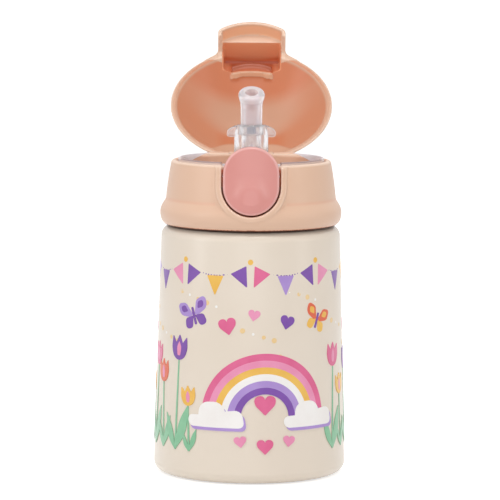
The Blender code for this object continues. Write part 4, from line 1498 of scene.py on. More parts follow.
@dataclass
class Spout:
    """Clear spout with its ears, the soft bent tip, the coupling and the straw."""

    finishes: Finishes
    core: LidCore
    top_z: float = 140.2
    spout_r: float = 6.85
    plug_r: float = 6.7
    mouth_r: float = 5.7
    bore_r: float = 4.6
    flange_r: float = 13.0
    tail_r: float = 4.55
    tail_in: float = 2.8
    tail_z: float = 106.4
    seat_z: float = 136.0
    root_r: float = 3.5
    nozzle_r: float = 2.0
    nozzle_in: float = 1.2
    ear_r: float = 1.9
    ear_reach: float = 9.8
    ear_z: float = 137.0
    tip_r: float = 4.4
    tip_bore: float = 2.6
    bead_r: float = 5.3
    tip_length: float = 12.8
    tip_lean: float = 29.0
    tip_step: float = 0.294
    straw_r: float = 3.6
    straw_in: float = 2.9
    straw_low: float = 8.6

    def holder(self) -> Sculpt:
        """Shape the clear spout with its two ears.

        Returns:
            The shape.
        """
        flange_z = self.core.flange_z
        deck_low = self.core.deck_low
        profile = [
            (self.bore_r, self.top_z, 0.25),
            (self.mouth_r, self.top_z, 0.4),
            (self.spout_r, self.top_z - 2.4, 1.0),
            (self.spout_r, flange_z + 1.4, 0.8),
            (self.flange_r, flange_z + 1.4, 0.4),
            (self.flange_r, flange_z, 0.15),
            (self.plug_r, flange_z),
            (self.plug_r, deck_low - 0.2),
            (self.tail_r, deck_low - 0.8),
            (self.tail_r, self.tail_z, 0.2),
            (self.tail_in, self.tail_z),
            (self.tail_in, self.seat_z, 0.2),
            (self.root_r + 0.2, self.seat_z, 0.2),
            (self.root_r + 0.2, self.top_z - 1.3, 0.3),
        ]
        shape = Sculpt.turned(profile, True, 120, segments=5)
        bore = Sculpt.post(self.spout_r - 0.6, FAR_DOWN, FAR_UP, 96)
        r = self.ear_r
        z = self.ear_z
        reach = self.ear_reach
        root = self.spout_r - 1.4
        front = [
            (root, z - r + 0.5), (reach - 1.5, z - r, 0.9), (reach, z - r + 0.5, 1.1),
            (reach, z + 0.9, 1.1), (reach - 1.9, z + r + 0.2, 0.8), (root, z + r + 1.3),
        ]
        for sign in (-1.0, 1.0):
            ear = Sculpt.slab(mirrored(front, sign), Plane.XZ, -r, r, 5)
            rims = [edge for edge in ear.bm.edges if abs(edge.verts[0].co.y - edge.verts[1].co.y) < 0.001]
            ear.soften(rims, 0.9, 5).tidy().combine(bore, Join.CUT)
            shape.combine(ear, Join.FUSE)
        return shape.tidy()

    def tip(self) -> Sculpt:
        """Shape the soft tip: a turned tube with a flared lip, bent forward.

        Returns:
            The shape.
        """
        root = self.seat_z + 0.3
        bend_z = self.top_z + 0.8
        top = bend_z + self.tip_length
        straight = [
            (self.nozzle_r, root, 0.2), (self.nozzle_r, root + 2.0, 0.2), (self.root_r, root + 2.5, 0.2),
            (self.root_r, self.top_z - 0.9, 0.2), (self.tip_r - 0.05, self.top_z + 0.1, 0.4),
            (self.tip_r, bend_z + 8.0, 1.6), (self.bead_r - 0.1, bend_z + 10.4, 0.9),
            (self.bead_r, top - 0.8, 0.6), (self.bead_r - 0.6, top, 0.5), (self.tip_bore - 0.1, top, 0.3),
            (self.tip_bore - 0.4, top - 1.2, 0.5), (self.tip_bore, top - 4.2, 0.6),
            (self.tip_bore, root + 3.6, 0.4), (self.nozzle_in, root + 2.6, 0.3),
            (self.nozzle_in, root, 0.2),
        ]
        shape = Sculpt.turned(straight, True, 72, segments=8).slice_along(2, self.tip_step, 0.02)
        shape.mark(HOLLOW, lambda point: 0.18 + 0.34 * ramp(point.z, top - 3.6, 1.2))
        bow = self.tip_length / math.radians(self.tip_lean)

        def bend(point: Vector) -> Vector:
            """Lean a point of the straight tube forward along the bow."""
            angle = max(0.0, point.z - bend_z) / bow
            if angle <= 0.0:
                return point
            y = point.y * math.cos(angle) - bow * (1.0 - math.cos(angle))
            z = bend_z + bow * math.sin(angle) + point.y * math.sin(angle)
            return Vector((point.x, y, z))

        return shape.mould(bend)

    def build(self) -> None:
        """Set the spout's pieces down."""
        kit = self.finishes
        set_piece("spout_holder", self.holder(), kit.clear, Body.LID, ["spout_base"], 50.0)
        tip = set_piece("soft_tip", self.tip(), kit.tip, None, ["mouthpiece"], 60.0)
        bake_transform(tip, "lid", "tip", start=(0.0, 0.0, 0.1402), end=(0.0, -0.001, 0.1465))
        meet = self.tail_z - 0.3
        sleeve_r = self.tail_r + 1.5
        upper_in = self.tail_r + 0.3
        lower_in = self.straw_r + 0.3
        sleeve = [
            (upper_in, meet + 6.0, 0.2), (sleeve_r, meet + 6.0, 0.5), (sleeve_r, meet - 7.0, 0.5),
            (lower_in, meet - 7.0, 0.2), (lower_in, meet, 0.2), (upper_in, meet, 0.2),
        ]
        shape = Sculpt.turned(sleeve, True, 72, segments=4)
        set_piece("straw_coupling", shape, kit.silicone, Body.LID, ["straw_sleeve"])
        end = meet - 0.3
        straw = [
            (self.straw_in, end, 0.15), (self.straw_r, end, 0.2),
            (self.straw_r, self.straw_low, 0.2), (self.straw_in, self.straw_low, 0.15),
        ]
        shape = Sculpt.turned(straw, True, 64, segments=3)
        set_piece("straw_tube", shape, kit.straw, Body.LID, ["drinking_straw"])


@dataclass
class Button:
    """Rocker button with its pin and return spring."""

    finishes: Finishes
    collar: Collar
    radius: float = 11.1
    low_z: float = 117.9
    straight: float = 4.6
    thick: float = 2.2
    skirt: float = 1.2
    skirt_top: float = 116.5
    face: float = 35.2
    tilt: float = 0.1296
    edge: float = 1.1
    pad_r: float = 8.1
    pad_z: float = 113.7
    pad_soft: float = 5.8
    pad_high: float = 0.9
    tooth_z: float = 132.2
    tooth_half: float = 4.6
    barrel_r: float = 1.8
    axle_r: float = 0.8
    coil_r: float = 2.2
    coil_wire: float = 0.25
    coil_long: float = 3.2
    coil_y: float = -33.55
    coil_z: float = 111.1

    def face_r(self, z: float) -> float:
        """Radius of the flat face at a height."""
        return self.face - self.tilt * (z - self.low_z - 0.5 * self.straight)

    def medial(self, z: float) -> float:
        """Height of the nearest point of the plate's middle line."""
        return min(self.low_z + self.straight, max(self.low_z, z))

    def reach(self, x: float, z: float) -> float:
        """Distance from the plate's outline."""
        return self.radius - math.hypot(x, z - self.medial(z))

    def arch(self, x: float, z: float) -> float:
        """Distance from the pad's arched upper edge."""
        return self.pad_r - math.hypot(x, max(0.0, z - self.pad_z))

    def pad(self, x: float, z: float) -> float:
        """Rise of the thumb pad, which swells softly below an arched edge."""
        share = ramp(self.arch(x, z), 0.0, self.pad_soft)
        return self.pad_high * ease(share) * ramp(self.reach(x, z), 0.0, 4.0)

    def plate(self) -> Sculpt:
        """Shape the plate from rings drawn in from its outline, swelled for a thumb and wrapped.

        Returns:
            The shape.
        """
        shape = Sculpt()
        bm = shape.bm
        layer = bm.verts.layers.float.new(EDGE)
        bmesh.ops.create_circle(bm, cap_ends=False, segments=128, radius=self.radius)
        shape.turn(90.0, "X")
        upper = [vert for vert in bm.verts if vert.co.z > 0.001]
        bmesh.ops.translate(bm, verts=upper, vec=(0.0, 0.0, self.straight))
        shape.shift(z=self.low_z)
        ring = bm.edges[:]
        left = self.radius
        for step in [0.05, 0.08, 0.12, 0.16, 0.2, 0.24, 0.28] + [0.36] * 27:
            ring = shape.grow(ring)
            for vert in {vert for edge in ring for vert in edge.verts}:
                near = Vector((0.0, 0.0, self.medial(vert.co.z)))
                vert.co = near + (vert.co - near) * ((left - step) / left)
            left -= step
        bmesh.ops.edgenet_fill(bm, edges=ring)
        front = bm.verts[:]
        copied = bmesh.ops.duplicate(bm, geom=bm.verts[:] + bm.edges[:] + bm.faces[:])["vert_map"]
        rims = [edge for edge in bm.edges if edge.is_boundary]
        bmesh.ops.bridge_loops(bm, edges=rims)
        for vert in front:
            x, z = vert.co.x, vert.co.z
            reach = self.reach(x, z)
            radius = self.face_r(z) - round_off(reach, self.edge) + self.pad(x, z)
            # painted highlight round the plate's rounded edge and a fainter painted highlight in a crescent
            # on the pad's arched edge
            swell = peak(self.arch(x, z), 2.2, 2.2) * ramp(z, self.pad_z - 1.0, 3.0)
            vert[layer] = max(peak(reach, 0.4, 0.6), 0.3 * swell)
            fade = ramp(-z, -self.skirt_top, 2.0)
            deep = self.thick + (self.skirt * fade if reach < 1.0 else 0.0)
            rear_radius = self.face_r(z) - deep + (0.3 if reach < 0.06 else 0.0)
            copied[vert].co = (x, -math.sqrt(rear_radius * rear_radius - x * x), z)
            vert.co = (x, -math.sqrt(radius * radius - x * x), z)
        return shape.tidy()

    def tooth(self) -> Sculpt:
        """Shape the latch tooth: a wedge whose top follows the plate's outline.

        Returns:
            The shape.
        """
        back = -(self.face_r(self.tooth_z) - self.thick)
        z = self.tooth_z
        wedge = [
            (back - 1.2, z), (back + 1.45, z, 0.2), (back + 1.45, z + 0.55, 0.25),
            (back, z + 1.2), (back - 1.2, z + 1.2),
        ]
        shape = Sculpt.slab(wedge, Plane.YZ, -self.tooth_half, self.tooth_half)
        high = self.low_z + self.straight
        r = self.radius - 0.35
        outline = [(r, high - 2.0), (r, high + r, r), (-r, high + r, r), (-r, high - 2.0)]
        return shape.combine(Sculpt.slab(outline, Plane.XZ, -FAR_OUT, -10.0, 24), Join.KEEP)

    def build(self) -> None:
        """Set the button's pieces down."""
        kit = self.finishes
        half = self.radius - 0.6
        y = self.collar.pin_y
        z = self.collar.pin_z
        barrel = Sculpt.peg(self.barrel_r, -half, half, y, z, 0.3)
        web = Sculpt.block((-9.0, y - 3.4, z - 1.4), (9.0, y, z + 1.4), 0.3)
        plate = self.plate().add(barrel, web, self.tooth())
        set_piece(
            "push_button_moulding", plate, kit.pink, Body.BUTTON, ["push_button"], 50.0,
        )
        reach = self.radius + 1.8
        pin = Sculpt.peg(self.axle_r, -reach, reach, y, z, 0.2, 32)
        set_piece("button_axle", pin, kit.pin_steel, Body.LID, ["button_pin"])
        section = round_wire(self.coil_r, self.coil_wire)
        coil = Sculpt.turned(section, True, 96, 1080.0, 0.0, self.coil_long, 3)
        coil.turn(-90.0, "X").shift(y=self.coil_y, z=self.coil_z)
        spring = set_piece("button_coil", coil, kit.spring, None, ["button_spring"])
        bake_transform(spring, "lid", "button", start=(0.0, -0.0305, 0.1111), end=(0.0, -0.0334, 0.1111))


@dataclass
class Cover:
    """Domed flip cover with the latch hood, the catch and the hinge knuckles."""

    finishes: Finishes
    collar: Collar
    rim_z: float = 126.3
    rim_r: float = 33.1
    inner_r: float = 30.8
    height: float = 22.0
    inner_height: float = 20.6
    hood_half: float = 14.0
    hood_front: float = 41.7
    hood_corner: float = 36.5
    hood_wall: float = 1.5
    skirt_z: float = 117.7
    ledge_z: float = 123.8
    ledge_s: float = 35.1
    recess_half: float = 11.8
    throat_half: float = 11.6
    throat_z: float = 127.2
    recess_rear: float = 25.6
    recess_z: float = 135.2
    roof_z: float = 136.6
    catch_low: float = 130.8
    catch_half: float = 8.4
    catch_tip: float = 30.5
    catch_heel: float = 25.5
    catch_bow: float = 2.5
    rib_bow: float = 1.1
    feet_gap: float = 5.3
    frame_gap: float = 0.45
    knuckle_r: float = 1.7
    knuckle_in: float = 3.5
    knuckle_out: float = 9.0
    open_turn: float = -140.0
    wide: float = 1.02
    # where the bowl's painted shade is paler: round a spot, and in a band by the hinge
    spot_y: float = -8.5
    spot_wide: float = 24.0
    spot_long: float = 10.5
    foot_y: float = 3.4
    foot_half: float = 13.6
    axle_r: float = 1.0
    axle_half: float = 17.4
    coil_r: float = 1.6
    coil_wire: float = 0.3
    coil_long: float = 4.6
    skin: float = 0.42

    def dome_line(self, radius: float, height: float, base: float) -> list[Corner]:
        """List a dome's profile from the axis to the rim."""
        shares = [index / 22.0 for index in range(23)]
        return [(radius * share, base + height * (1.0 - share * share)) for share in shares]

    def dome(self) -> Sculpt:
        """Shape the turned bowl.

        Returns:
            The shape.
        """
        outer = self.dome_line(self.rim_r, self.height - 0.7, self.rim_z + 0.7)
        inner = self.dome_line(self.inner_r, self.inner_height - 0.4, self.rim_z + 0.4)
        inner.reverse()
        line = outer[:-1] + [(self.rim_r, self.rim_z + 0.6), (self.rim_r, self.rim_z, 0.55)]
        line += [(self.inner_r, self.rim_z, 0.35)] + inner
        return Sculpt.turned(line, False, FINE_STEPS)

    def front(self, x: float, inset: float) -> float:
        """Find Y of the hood's bowed front, moved in by an inset.

        Args:
            x: place across.
            inset: how far it is moved in.

        Returns:
            Y of the front.
        """
        bow = self.hood_front - self.hood_corner
        radius = (self.hood_half ** 2 + bow * bow) / (2.0 * bow)
        return radius - self.hood_front - math.sqrt((radius - inset) ** 2 - x * x)

    def outline(self, inset: float, rear: float) -> list[Corner]:
        """Outline the hood in XY with its bowed front.

        Args:
            inset: how far it is moved in.
            rear: Y of its straight rear.

        Returns:
            The corners.
        """
        half = self.hood_half - inset
        count = 28
        corners = [(half, rear), (-half, rear)]
        for index in range(count + 1):
            x = -half + 2.0 * half * index / count
            corners.append((x, self.front(x, inset)))
        return corners

    def hood(self) -> Sculpt:
        """Shape the latch hood with its soft shoulders.

        Returns:
            The shape.
        """
        rear = -16.0
        shape = Sculpt.slab(self.outline(0.0, rear), Plane.XY, self.skirt_z, self.roof_z)
        bm = shape.bm
        upright = [
            edge for edge in bm.edges
            if abs(edge.verts[0].co.z - edge.verts[1].co.z) > 5.0
            and abs(abs(edge.verts[0].co.x) - self.hood_half) < 0.01 and edge.verts[0].co.y < rear - 4.0
        ]
        shape.soften(upright, 1.3, 5)
        top = [
            edge for edge in bm.edges
            if all(vert.co.z > self.roof_z - 0.01 for vert in edge.verts)
            and any(vert.co.y < rear - 0.5 for vert in edge.verts)
        ]
        shape.soften(top, 2.6, 8)
        return shape.tidy()

    def gusset(self, sign: float) -> Sculpt:
        """Shape the small fillet between a side of the hood and the rim.

        Args:
            sign: 1 for the side of +X, -1 for the other.

        Returns:
            The shape.
        """
        x = self.hood_half
        side = [
            (x - 1.0, -33.6), (x, -33.2), (x + 0.3, -31.9), (x + 1.3, -30.6), (x + 2.8, -29.5),
            (x + 4.6, -28.1), (x + 6.2, -26.4), (x + 5.0, -25.6), (x - 1.0, -27.6),
        ]
        return Sculpt.slab(mirrored(side, sign), Plane.XY, self.rim_z + 0.3, self.rim_z + 2.2)

    def recess(self) -> Sculpt:
        """Shape the hollow that takes the button's head: a mouth and the deeper part above it.

        Returns:
            The shape.
        """
        front = -self.ledge_s
        rear = -18.0
        wide = [(front, self.throat_z), (front, FAR_DOWN), (rear, FAR_DOWN), (rear, self.throat_z)]
        deep = [
            (front, self.recess_z, 2.2), (front, FAR_DOWN), (rear, FAR_DOWN), (rear, self.throat_z),
            (-self.recess_rear, self.throat_z), (-self.recess_rear, self.recess_z, 1.5),
        ]
        shape = Sculpt.slab(wide, Plane.YZ, -self.recess_half, self.recess_half)
        return shape.combine(Sculpt.slab(deep, Plane.YZ, -self.throat_half, self.throat_half), Join.FUSE)

    def clearance(self) -> Sculpt:
        """Shape the room for the bowl and for the collar's frame.

        Returns:
            The shape.
        """
        bowl = self.dome_line(self.inner_r, self.inner_height - 0.4, self.rim_z + 0.75)[:-1]
        collar = self.collar
        gap = self.frame_gap
        line = bowl + [
            (self.inner_r + 0.5, self.rim_z),
            (collar.frame_top_r + gap, self.rim_z),
            (collar.frame_mid_r + gap, collar.frame_mid_z),
            (collar.frame_low_r + gap, collar.frame_low_z),
            (collar.frame_low_r + gap, FAR_DOWN),
            (0.0, FAR_DOWN),
        ]
        return Sculpt.turned(line, False, FINE_STEPS)

    def bowed(self, side: Sequence[Corner], half: float, bow: float) -> Sculpt:
        """Extrude a YZ outline along X and bow it, with its middle further forward than its ends.

        Args:
            side: outline in YZ.
            half: half its length along X.
            bow: how far the ends lie back.

        Returns:
            The shape.
        """
        shape = Sculpt.slab(side, Plane.YZ, -half, half, 4).slice_along(0, 1.0)

        def bend(point: Vector) -> Vector:
            """Move a point back by how far it is from the middle."""
            return Vector((point.x, point.y + bow * (point.x / self.catch_half) ** 2, point.z))

        return shape.mould(bend)

    def catch(self) -> Sculpt:
        """Shape the catch: a bowed hook blade, the bowed rib behind it and the rib's two feet.

        Returns:
            The shape.
        """
        low = self.catch_low
        top = self.roof_z - 0.5
        tip = self.catch_tip
        heel = self.catch_heel
        half = self.catch_half
        blade = [
            (-tip, low + 1.1, 0.25), (-tip, low, 0.4), (-tip + 1.9, low + 0.1, 0.5), (-tip + 2.1, top),
            (-tip + 1.1, top), (-tip + 1.1, low + 1.2),
        ]
        rib = [
            (-heel, top), (-heel, low + 0.4, 0.3), (-heel + 0.6, low + 0.6, 0.3), (-heel + 1.0, low + 3.2),
            (-heel + 1.3, top),
        ]
        foot = [
            (-heel, top), (-heel, low + 0.4, 0.3), (-heel + 0.8, low + 0.5, 0.3), (-heel + 1.9, low + 3.7),
            (-heel + 2.3, top + 1.0),
        ]
        web = [(-tip + 1.9, low + 0.6), (-heel + 0.2, low + 0.8), (-heel + 0.2, top), (-tip + 1.9, top)]
        shape = self.bowed(blade, half, self.catch_bow)
        shape.add(self.bowed(web, half - 0.2, 0.5 * (self.catch_bow + self.rib_bow)))
        shape.add(self.bowed(rib, half, self.rib_bow))
        feet = self.bowed(foot, half, self.rib_bow)
        middle = Sculpt.block((-self.feet_gap, -FAR_OUT, FAR_DOWN), (self.feet_gap, 0.0, FAR_UP))
        return shape.add(feet.combine(middle, Join.CUT))

    def bowl_mark(self, x: float, y: float) -> float:
        """Grade the painted shade in the bowl: pale round a spot before its middle, deeper by the hood and
        beside the spout, pale by the hinge.

        Args:
            x: place across.
            y: place along.

        Returns:
            The mark, up to 2.
        """
        away = math.hypot(x / self.spot_wide, (y - self.spot_y) / self.spot_long)
        mark = 1.0 + 0.52 * ease(ramp(away, 0.45, 0.7))
        mark += 0.4 * ramp(-y, 14.0, 5.0)
        # painted shadow beside the spout
        mark += 0.3 * ramp(y, -1.5, 2.5) * ramp(-abs(x), -15.0, 4.0)
        foot = ramp(y, self.foot_y + 7.0 * (x / self.foot_half) ** 4, 1.6)
        return min(2.0, mark + (0.5 - mark) * foot)

    def mark_hollow(self, shape: Sculpt) -> None:
        """Mark the painted shade at each point of the skin in the bowl, the hood and the catch, with painted
        bounce light on the tab's inner wall and the catch's rib, and painted highlights on some edges.

        Args:
            shape: the cover's skin, shut, with its edges marked.
        """
        bm = shape.bm
        bm.normal_update()
        layer = bm.verts.layers.float.new(HOLLOW)
        edge = bm.verts.layers.float[EDGE]
        heel = self.catch_heel
        catch_top = self.recess_z - 1.8
        roof = self.recess_z - 1.6
        deep_z = self.recess_z - 2.6
        for vert in bm.verts:
            x, y, z = vert.co
            radius = math.hypot(x, y)
            down = vert.normal.z
            bow = (x / self.catch_half) ** 2
            outer = self.rim_z + 0.7 + (self.height - 0.7) * (1.0 - (radius / self.rim_r) ** 2)
            in_bowl = radius < self.inner_r + 0.1 and z < outer - 0.9
            in_hood = abs(x) < self.recess_half + 0.3 and -50.0 < y < -20.0 and z < self.roof_z - 0.8
            in_hood = in_hood and y > self.front(x, 0.85)
            on_catch = abs(x) < self.catch_half + 0.3 and z < catch_top
            on_catch = on_catch and -self.catch_tip - 0.3 < y < -heel + 4.6
            mark = 0.0
            # painted shade on the rim, deeper towards its inner edge and the hood
            if radius > self.inner_r - 0.6 and z < self.rim_z + 0.4:
                upper = ramp(-y, 4.0, 16.0)
                mark = 0.25 + (0.75 + 0.65 * upper) * ramp(-radius, 0.5 - self.rim_r, 0.9)
            # beside the hood: no shade, and a painted highlight along the side edges
            if abs(x) > self.recess_half + 0.3 and y < -27.0:
                mark = 0.0
                vert[edge] = 0.6 if z < self.rim_z + 0.5 and abs(x) < self.hood_half - 0.2 else vert[edge]
            # the tab's inner wall: painted bounce light; its ledge: a painted highlight
            elif in_hood and y < -self.ledge_s + 0.4 and z < self.ledge_z + 0.3:
                ledge = down < -0.8
                mark = 0.0 if ledge else -max(0.2, ramp(z, self.skirt_z + 0.3, 1.5))
                vert[edge] = 0.5 if ledge else vert[edge]
            # the catch's rib and feet: painted bounce light, with painted shade on their bottom faces
            elif on_catch and y - self.rib_bow * bow > -heel - 0.2:
                mark = 1.1 if down < -0.8 else -0.5
                vert[edge] = 0.0
            # the catch's blade: deep painted shade
            elif on_catch and down < -0.3:
                mark = 4.9 - 0.5 * ramp(y - self.catch_bow * bow, 1.6 - self.catch_tip, 3.0)
            # the recess: painted shade, deepest under its roof, paler beside the catch
            elif in_hood and y < -heel + 0.4:
                mark = 3.0 + 0.8 * ramp(z + 0.8 * bow, deep_z, 1.6)
                mark = 4.3 if z > roof and down < -0.5 else mark
                beside = ramp(abs(x), self.catch_half - 0.4, 1.8)
                mark += (3.2 - mark) * beside if y > -self.ledge_s + 1.2 else 0.0
            # the bowl: graded painted shade
            elif in_bowl:
                mark = self.bowl_mark(x, y) * max(0.35, ramp(z, self.rim_z + 0.1, 1.2))
            vert[layer] = mark

    def build(self) -> None:
        """Set the cover and its hinge down."""
        kit = self.finishes
        y = self.collar.hinge_y
        z = self.collar.hinge_z
        recess = self.recess()
        dome = self.dome().combine(recess, Join.CUT)
        hood = self.hood()
        inside = Sculpt.slab(self.outline(self.hood_wall, -10.0), Plane.XY, FAR_DOWN, self.ledge_z)
        for tool in (inside, self.clearance(), recess):
            hood.combine(tool, Join.CUT)
        bore = Sculpt.peg(self.collar.hinge_bore, -30.0, 30.0, y, z)
        for sign in (-1.0, 1.0):
            near, far = sorted((sign * self.knuckle_out, sign * 24.0))
            dome.combine(Sculpt.peg(self.knuckle_r + 0.45, near, far, y, z), Join.CUT)
        dome.combine(Sculpt.peg(self.knuckle_r, -self.knuckle_in, self.knuckle_in, y, z), Join.CUT)
        dome.combine(bore, Join.CUT)
        dome.add(hood, self.catch(), self.gusset(1.0), self.gusset(-1.0))
        for sign in (-1.0, 1.0):
            near, far = sorted((sign * self.knuckle_in, sign * self.knuckle_out))
            dome.add(Sculpt.peg(self.knuckle_r, near, far, y, z, 0.25).combine(bore, Join.CUT))
        dome.cast(self.skin, 2).mark_edges()
        self.mark_hollow(dome)
        bmesh.ops.scale(dome.bm, vec=(self.wide, 1.0, 1.0), verts=dome.bm.verts)
        dome.turn(self.open_turn, "X", (0.0, y, z))
        set_piece(
            "flip_cover_moulding", dome, kit.cover, Body.COVER, ["flip_cover"], NO_CREASE,
        )
        pin = Sculpt.peg(self.axle_r, -self.axle_half, self.axle_half, y, z, 0.25, 32)
        set_piece("hinge_axle", pin, kit.pin_steel, Body.LID, ["hinge_pin"])
        section = round_wire(self.coil_r, self.coil_wire)
        coil = Sculpt.turned(section, True, 128, 1440.0, 0.0, self.coil_long, 3)
        coil.shift(z=-0.5 * self.coil_long).turn(90.0, "Y").shift(y=y, z=z)
        set_piece("hinge_coil", coil, kit.spring, Body.LID, ["hinge_spring"])


class Ink(Enum):
    """Print colours, each with its shade."""

    PURPLE = ((125, 70, 170), (112, 60, 158))
    LILAC = ((178, 148, 214), (166, 134, 204))
    HOT_PINK = ((226, 100, 148), (217, 84, 134))
    ROSE = ((236, 150, 186), (230, 134, 172))
    GOLD = ((241, 192, 84), (235, 178, 66))
    FLAME = ((229, 104, 62), (219, 88, 48))
    LEAF = ((140, 198, 158), (120, 184, 142))
    WHITE = ((248, 245, 242), (243, 238, 234))
    STRAW = ((239, 208, 152), (234, 198, 138))


@dataclass
class PrintArt:
    """Transfer print round the shell: bunting, rainbows, tulips, hearts, butterflies and dots."""

    flask: Flask
    low_z: float = 8.9
    high_z: float = 95.8
    roll_r: float = 37.0
    film: float = 0.03
    sink: float = 0.1
    strip: float = 1.2
    swags: int = 8
    swag_z: float = 88.5
    swag_drop: float = 5.5
    pennants: int = 3
    meadow_z: float = 12.5
    dots: int = 54
    inks: dict = field(default_factory=dict)

    def wrap(self, point: Vector) -> Vector:
        """Roll a flat point (along, height out of the sheet, up) onto the shell.

        Args:
            point: the flat point.

        Returns:
            The point on the shell.
        """
        share = (point.z - self.low_z) / (self.high_z - self.low_z)
        radius = self.flask.low_r + (self.flask.high_r - self.flask.low_r) * share - point.y
        angle = point.x / self.roll_r
        return Vector((radius * math.sin(angle), -radius * math.cos(angle), point.z))

    def put(self, ink: Ink, flat: Sculpt) -> None:
        """Cut a flat film into strips, roll it on and keep it with its ink."""
        flat.slice_along(0, self.strip).mould(self.wrap)
        self.inks.setdefault(ink, Sculpt()).add(flat)

    def motif(
        self, ink: Ink, corners: Sequence[Corner], at: Sequence[float],
        size: float = 1.0, turn: float = 0.0, layer: int = 1,
    ) -> None:
        """Print one filled outline.

        Args:
            ink: its colour.
            corners: outline in its own units.
            at: place on the sheet, along and up.
            size: millimetres to a unit.
            turn: degrees anticlockwise as seen from outside.
            layer: films that lie under it, plus one.
        """
        grown = [tuple(value * size for value in corner) for corner in corners]
        flat = Sculpt.slab(grown, Plane.XZ, self.sink, -self.film * layer, 5)
        self.put(ink, flat.turn(-turn, "Y").shift(x=at[0], z=at[1]))

    def bow(self, ink: Ink, at: Sequence[float], inner: float, outer: float, layer: int) -> None:
        """Print a half ring.

        Args:
            ink: its colour.
            at: place on the sheet, along and up.
            inner: inner radius.
            outer: outer radius.
            layer: films that lie under it, plus one.
        """
        top = self.film * layer
        corners = [(inner, -self.sink), (outer, -self.sink), (outer, top), (inner, top)]
        ring = Sculpt.turned(corners, True, 64, 180.0)
        self.put(ink, ring.turn(90.0, "X").shift(x=at[0], z=at[1]))

    def spot(self, ink: Ink, at: Sequence[float], radius: float, layer: int = 1) -> None:
        """Print a dot."""
        disc = Sculpt.post(radius, -self.sink, self.film * layer, 20)
        self.put(ink, disc.turn(90.0, "X").shift(x=at[0], z=at[1]))

    def heart(self, ink: Ink, at: Sequence[float], size: float, turn: float = 0.0) -> None:
        """Print a heart.

        Args:
            ink: its colour.
            at: place on the sheet, along and up.
            size: half its width.
            turn: degrees anticlockwise.
        """
        side = [(1.02, 0.1, 0.33), (0.98, 0.84, 0.38), (0.12, 0.95, 0.36)]
        outline = [(0.0, -0.95, 0.1)] + side + [(0.0, 0.5)] + mirrored(side[::-1])
        self.motif(ink, outline, at, size, turn, 3)

    def cloud(self, at: Sequence[float], size: float) -> None:
        """Print a cloud with a lilac lower edge.

        Args:
            at: place on the sheet, along and up.
            size: about a third of its width.
        """
        puff = [
            (-1.5, 0.0, 0.25), (-1.62, 0.6, 0.33), (-0.95, 0.62), (-0.92, 1.3, 0.5),
            (0.4, 1.35, 0.5), (0.5, 0.86), (1.35, 0.95, 0.38), (1.5, 0.0, 0.3),
        ]
        self.motif(Ink.LILAC, puff, (at[0] + 0.12 * size, at[1] - 0.16 * size), size, 0.0, 4)
        self.motif(Ink.WHITE, puff, at, size, 0.0, 5)

    def tulip(self, ink: Ink, at: Sequence[float], height: float, size: float, lean: float) -> None:
        """Print a tulip with its stem and two leaves.

        Args:
            ink: colour of the cup.
            at: place on the sheet, along and up.
            height: length of the stem.
            size: half the cup's width.
            lean: how far the stem leans along.
        """
        foot_x, foot_z = at
        top_x = foot_x + lean
        stem = [(-0.45, 0.0), (0.45, 0.0), (lean + 0.35, height), (lean - 0.35, height)]
        self.motif(Ink.LEAF, stem, at, 1.0, 0.0, 2)
        blade = [(0.0, 0.0, 0.02), (0.22, 0.34, 0.2), (0.16, 0.82, 0.02), (-0.04, 0.42, 0.25)]
        self.motif(Ink.LEAF, blade, (foot_x + 0.2, foot_z), height * 0.62, -8.0, 2)
        self.motif(Ink.LEAF, mirrored(blade[::-1]), (foot_x - 0.2, foot_z), height * 0.5, 12.0, 2)
        cup = [
            (-0.82, 0.95, 0.1), (-0.38, 0.42, 0.08), (0.0, 1.1, 0.1), (0.38, 0.42, 0.08), (0.82, 0.95, 0.1),
            (0.95, -0.3, 0.55), (0.35, -0.95, 0.35), (-0.35, -0.95, 0.35), (-0.95, -0.3, 0.55),
        ]
        tilt = -math.degrees(math.atan2(lean, height)) * 1.4
        place = (top_x, foot_z + height + size * 0.7)
        self.motif(ink, cup, place, size, tilt, 4)
        petal = [
            (0.0, 0.7, 0.1), (0.34, 0.1, 0.3), (0.2, -0.75, 0.15), (-0.2, -0.75, 0.15), (-0.34, 0.1, 0.3),
        ]
        self.motif(Ink.ROSE, petal, place, size * 0.8, tilt, 5)

    def butterfly(self, ink: Ink, second: Ink, at: Sequence[float], size: float, turn: float) -> None:
        """Print a butterfly.

        Args:
            ink: colour of the upper wings.
            second: colour of the lower wings.
            at: place on the sheet, along and up.
            size: millimetres to a unit.
            turn: degrees anticlockwise.
        """
        upper = [(0.08, 0.02), (0.5, 1.0, 0.2), (1.35, 1.15, 0.35), (1.3, 0.25, 0.35), (0.4, -0.1, 0.1)]
        lower = [(0.08, -0.05), (0.85, -0.1, 0.2), (1.0, -0.85, 0.3), (0.35, -0.95, 0.25)]
        inlay = [(0.45, 0.35, 0.1), (0.62, 0.85, 0.15), (1.1, 0.85, 0.2), (1.0, 0.35, 0.2)]
        for sign in (1.0, -1.0):
            for colour, wing, layer in ((ink, upper, 3), (second, lower, 2), (second, inlay, 4)):
                self.motif(colour, mirrored(wing, sign), at, size, turn, layer)
        trunk = [(0.1, 0.55, 0.08), (0.1, -0.75, 0.08), (-0.1, -0.75, 0.08), (-0.1, 0.55, 0.08)]
        self.motif(Ink.PURPLE, trunk, at, size, turn, 5)

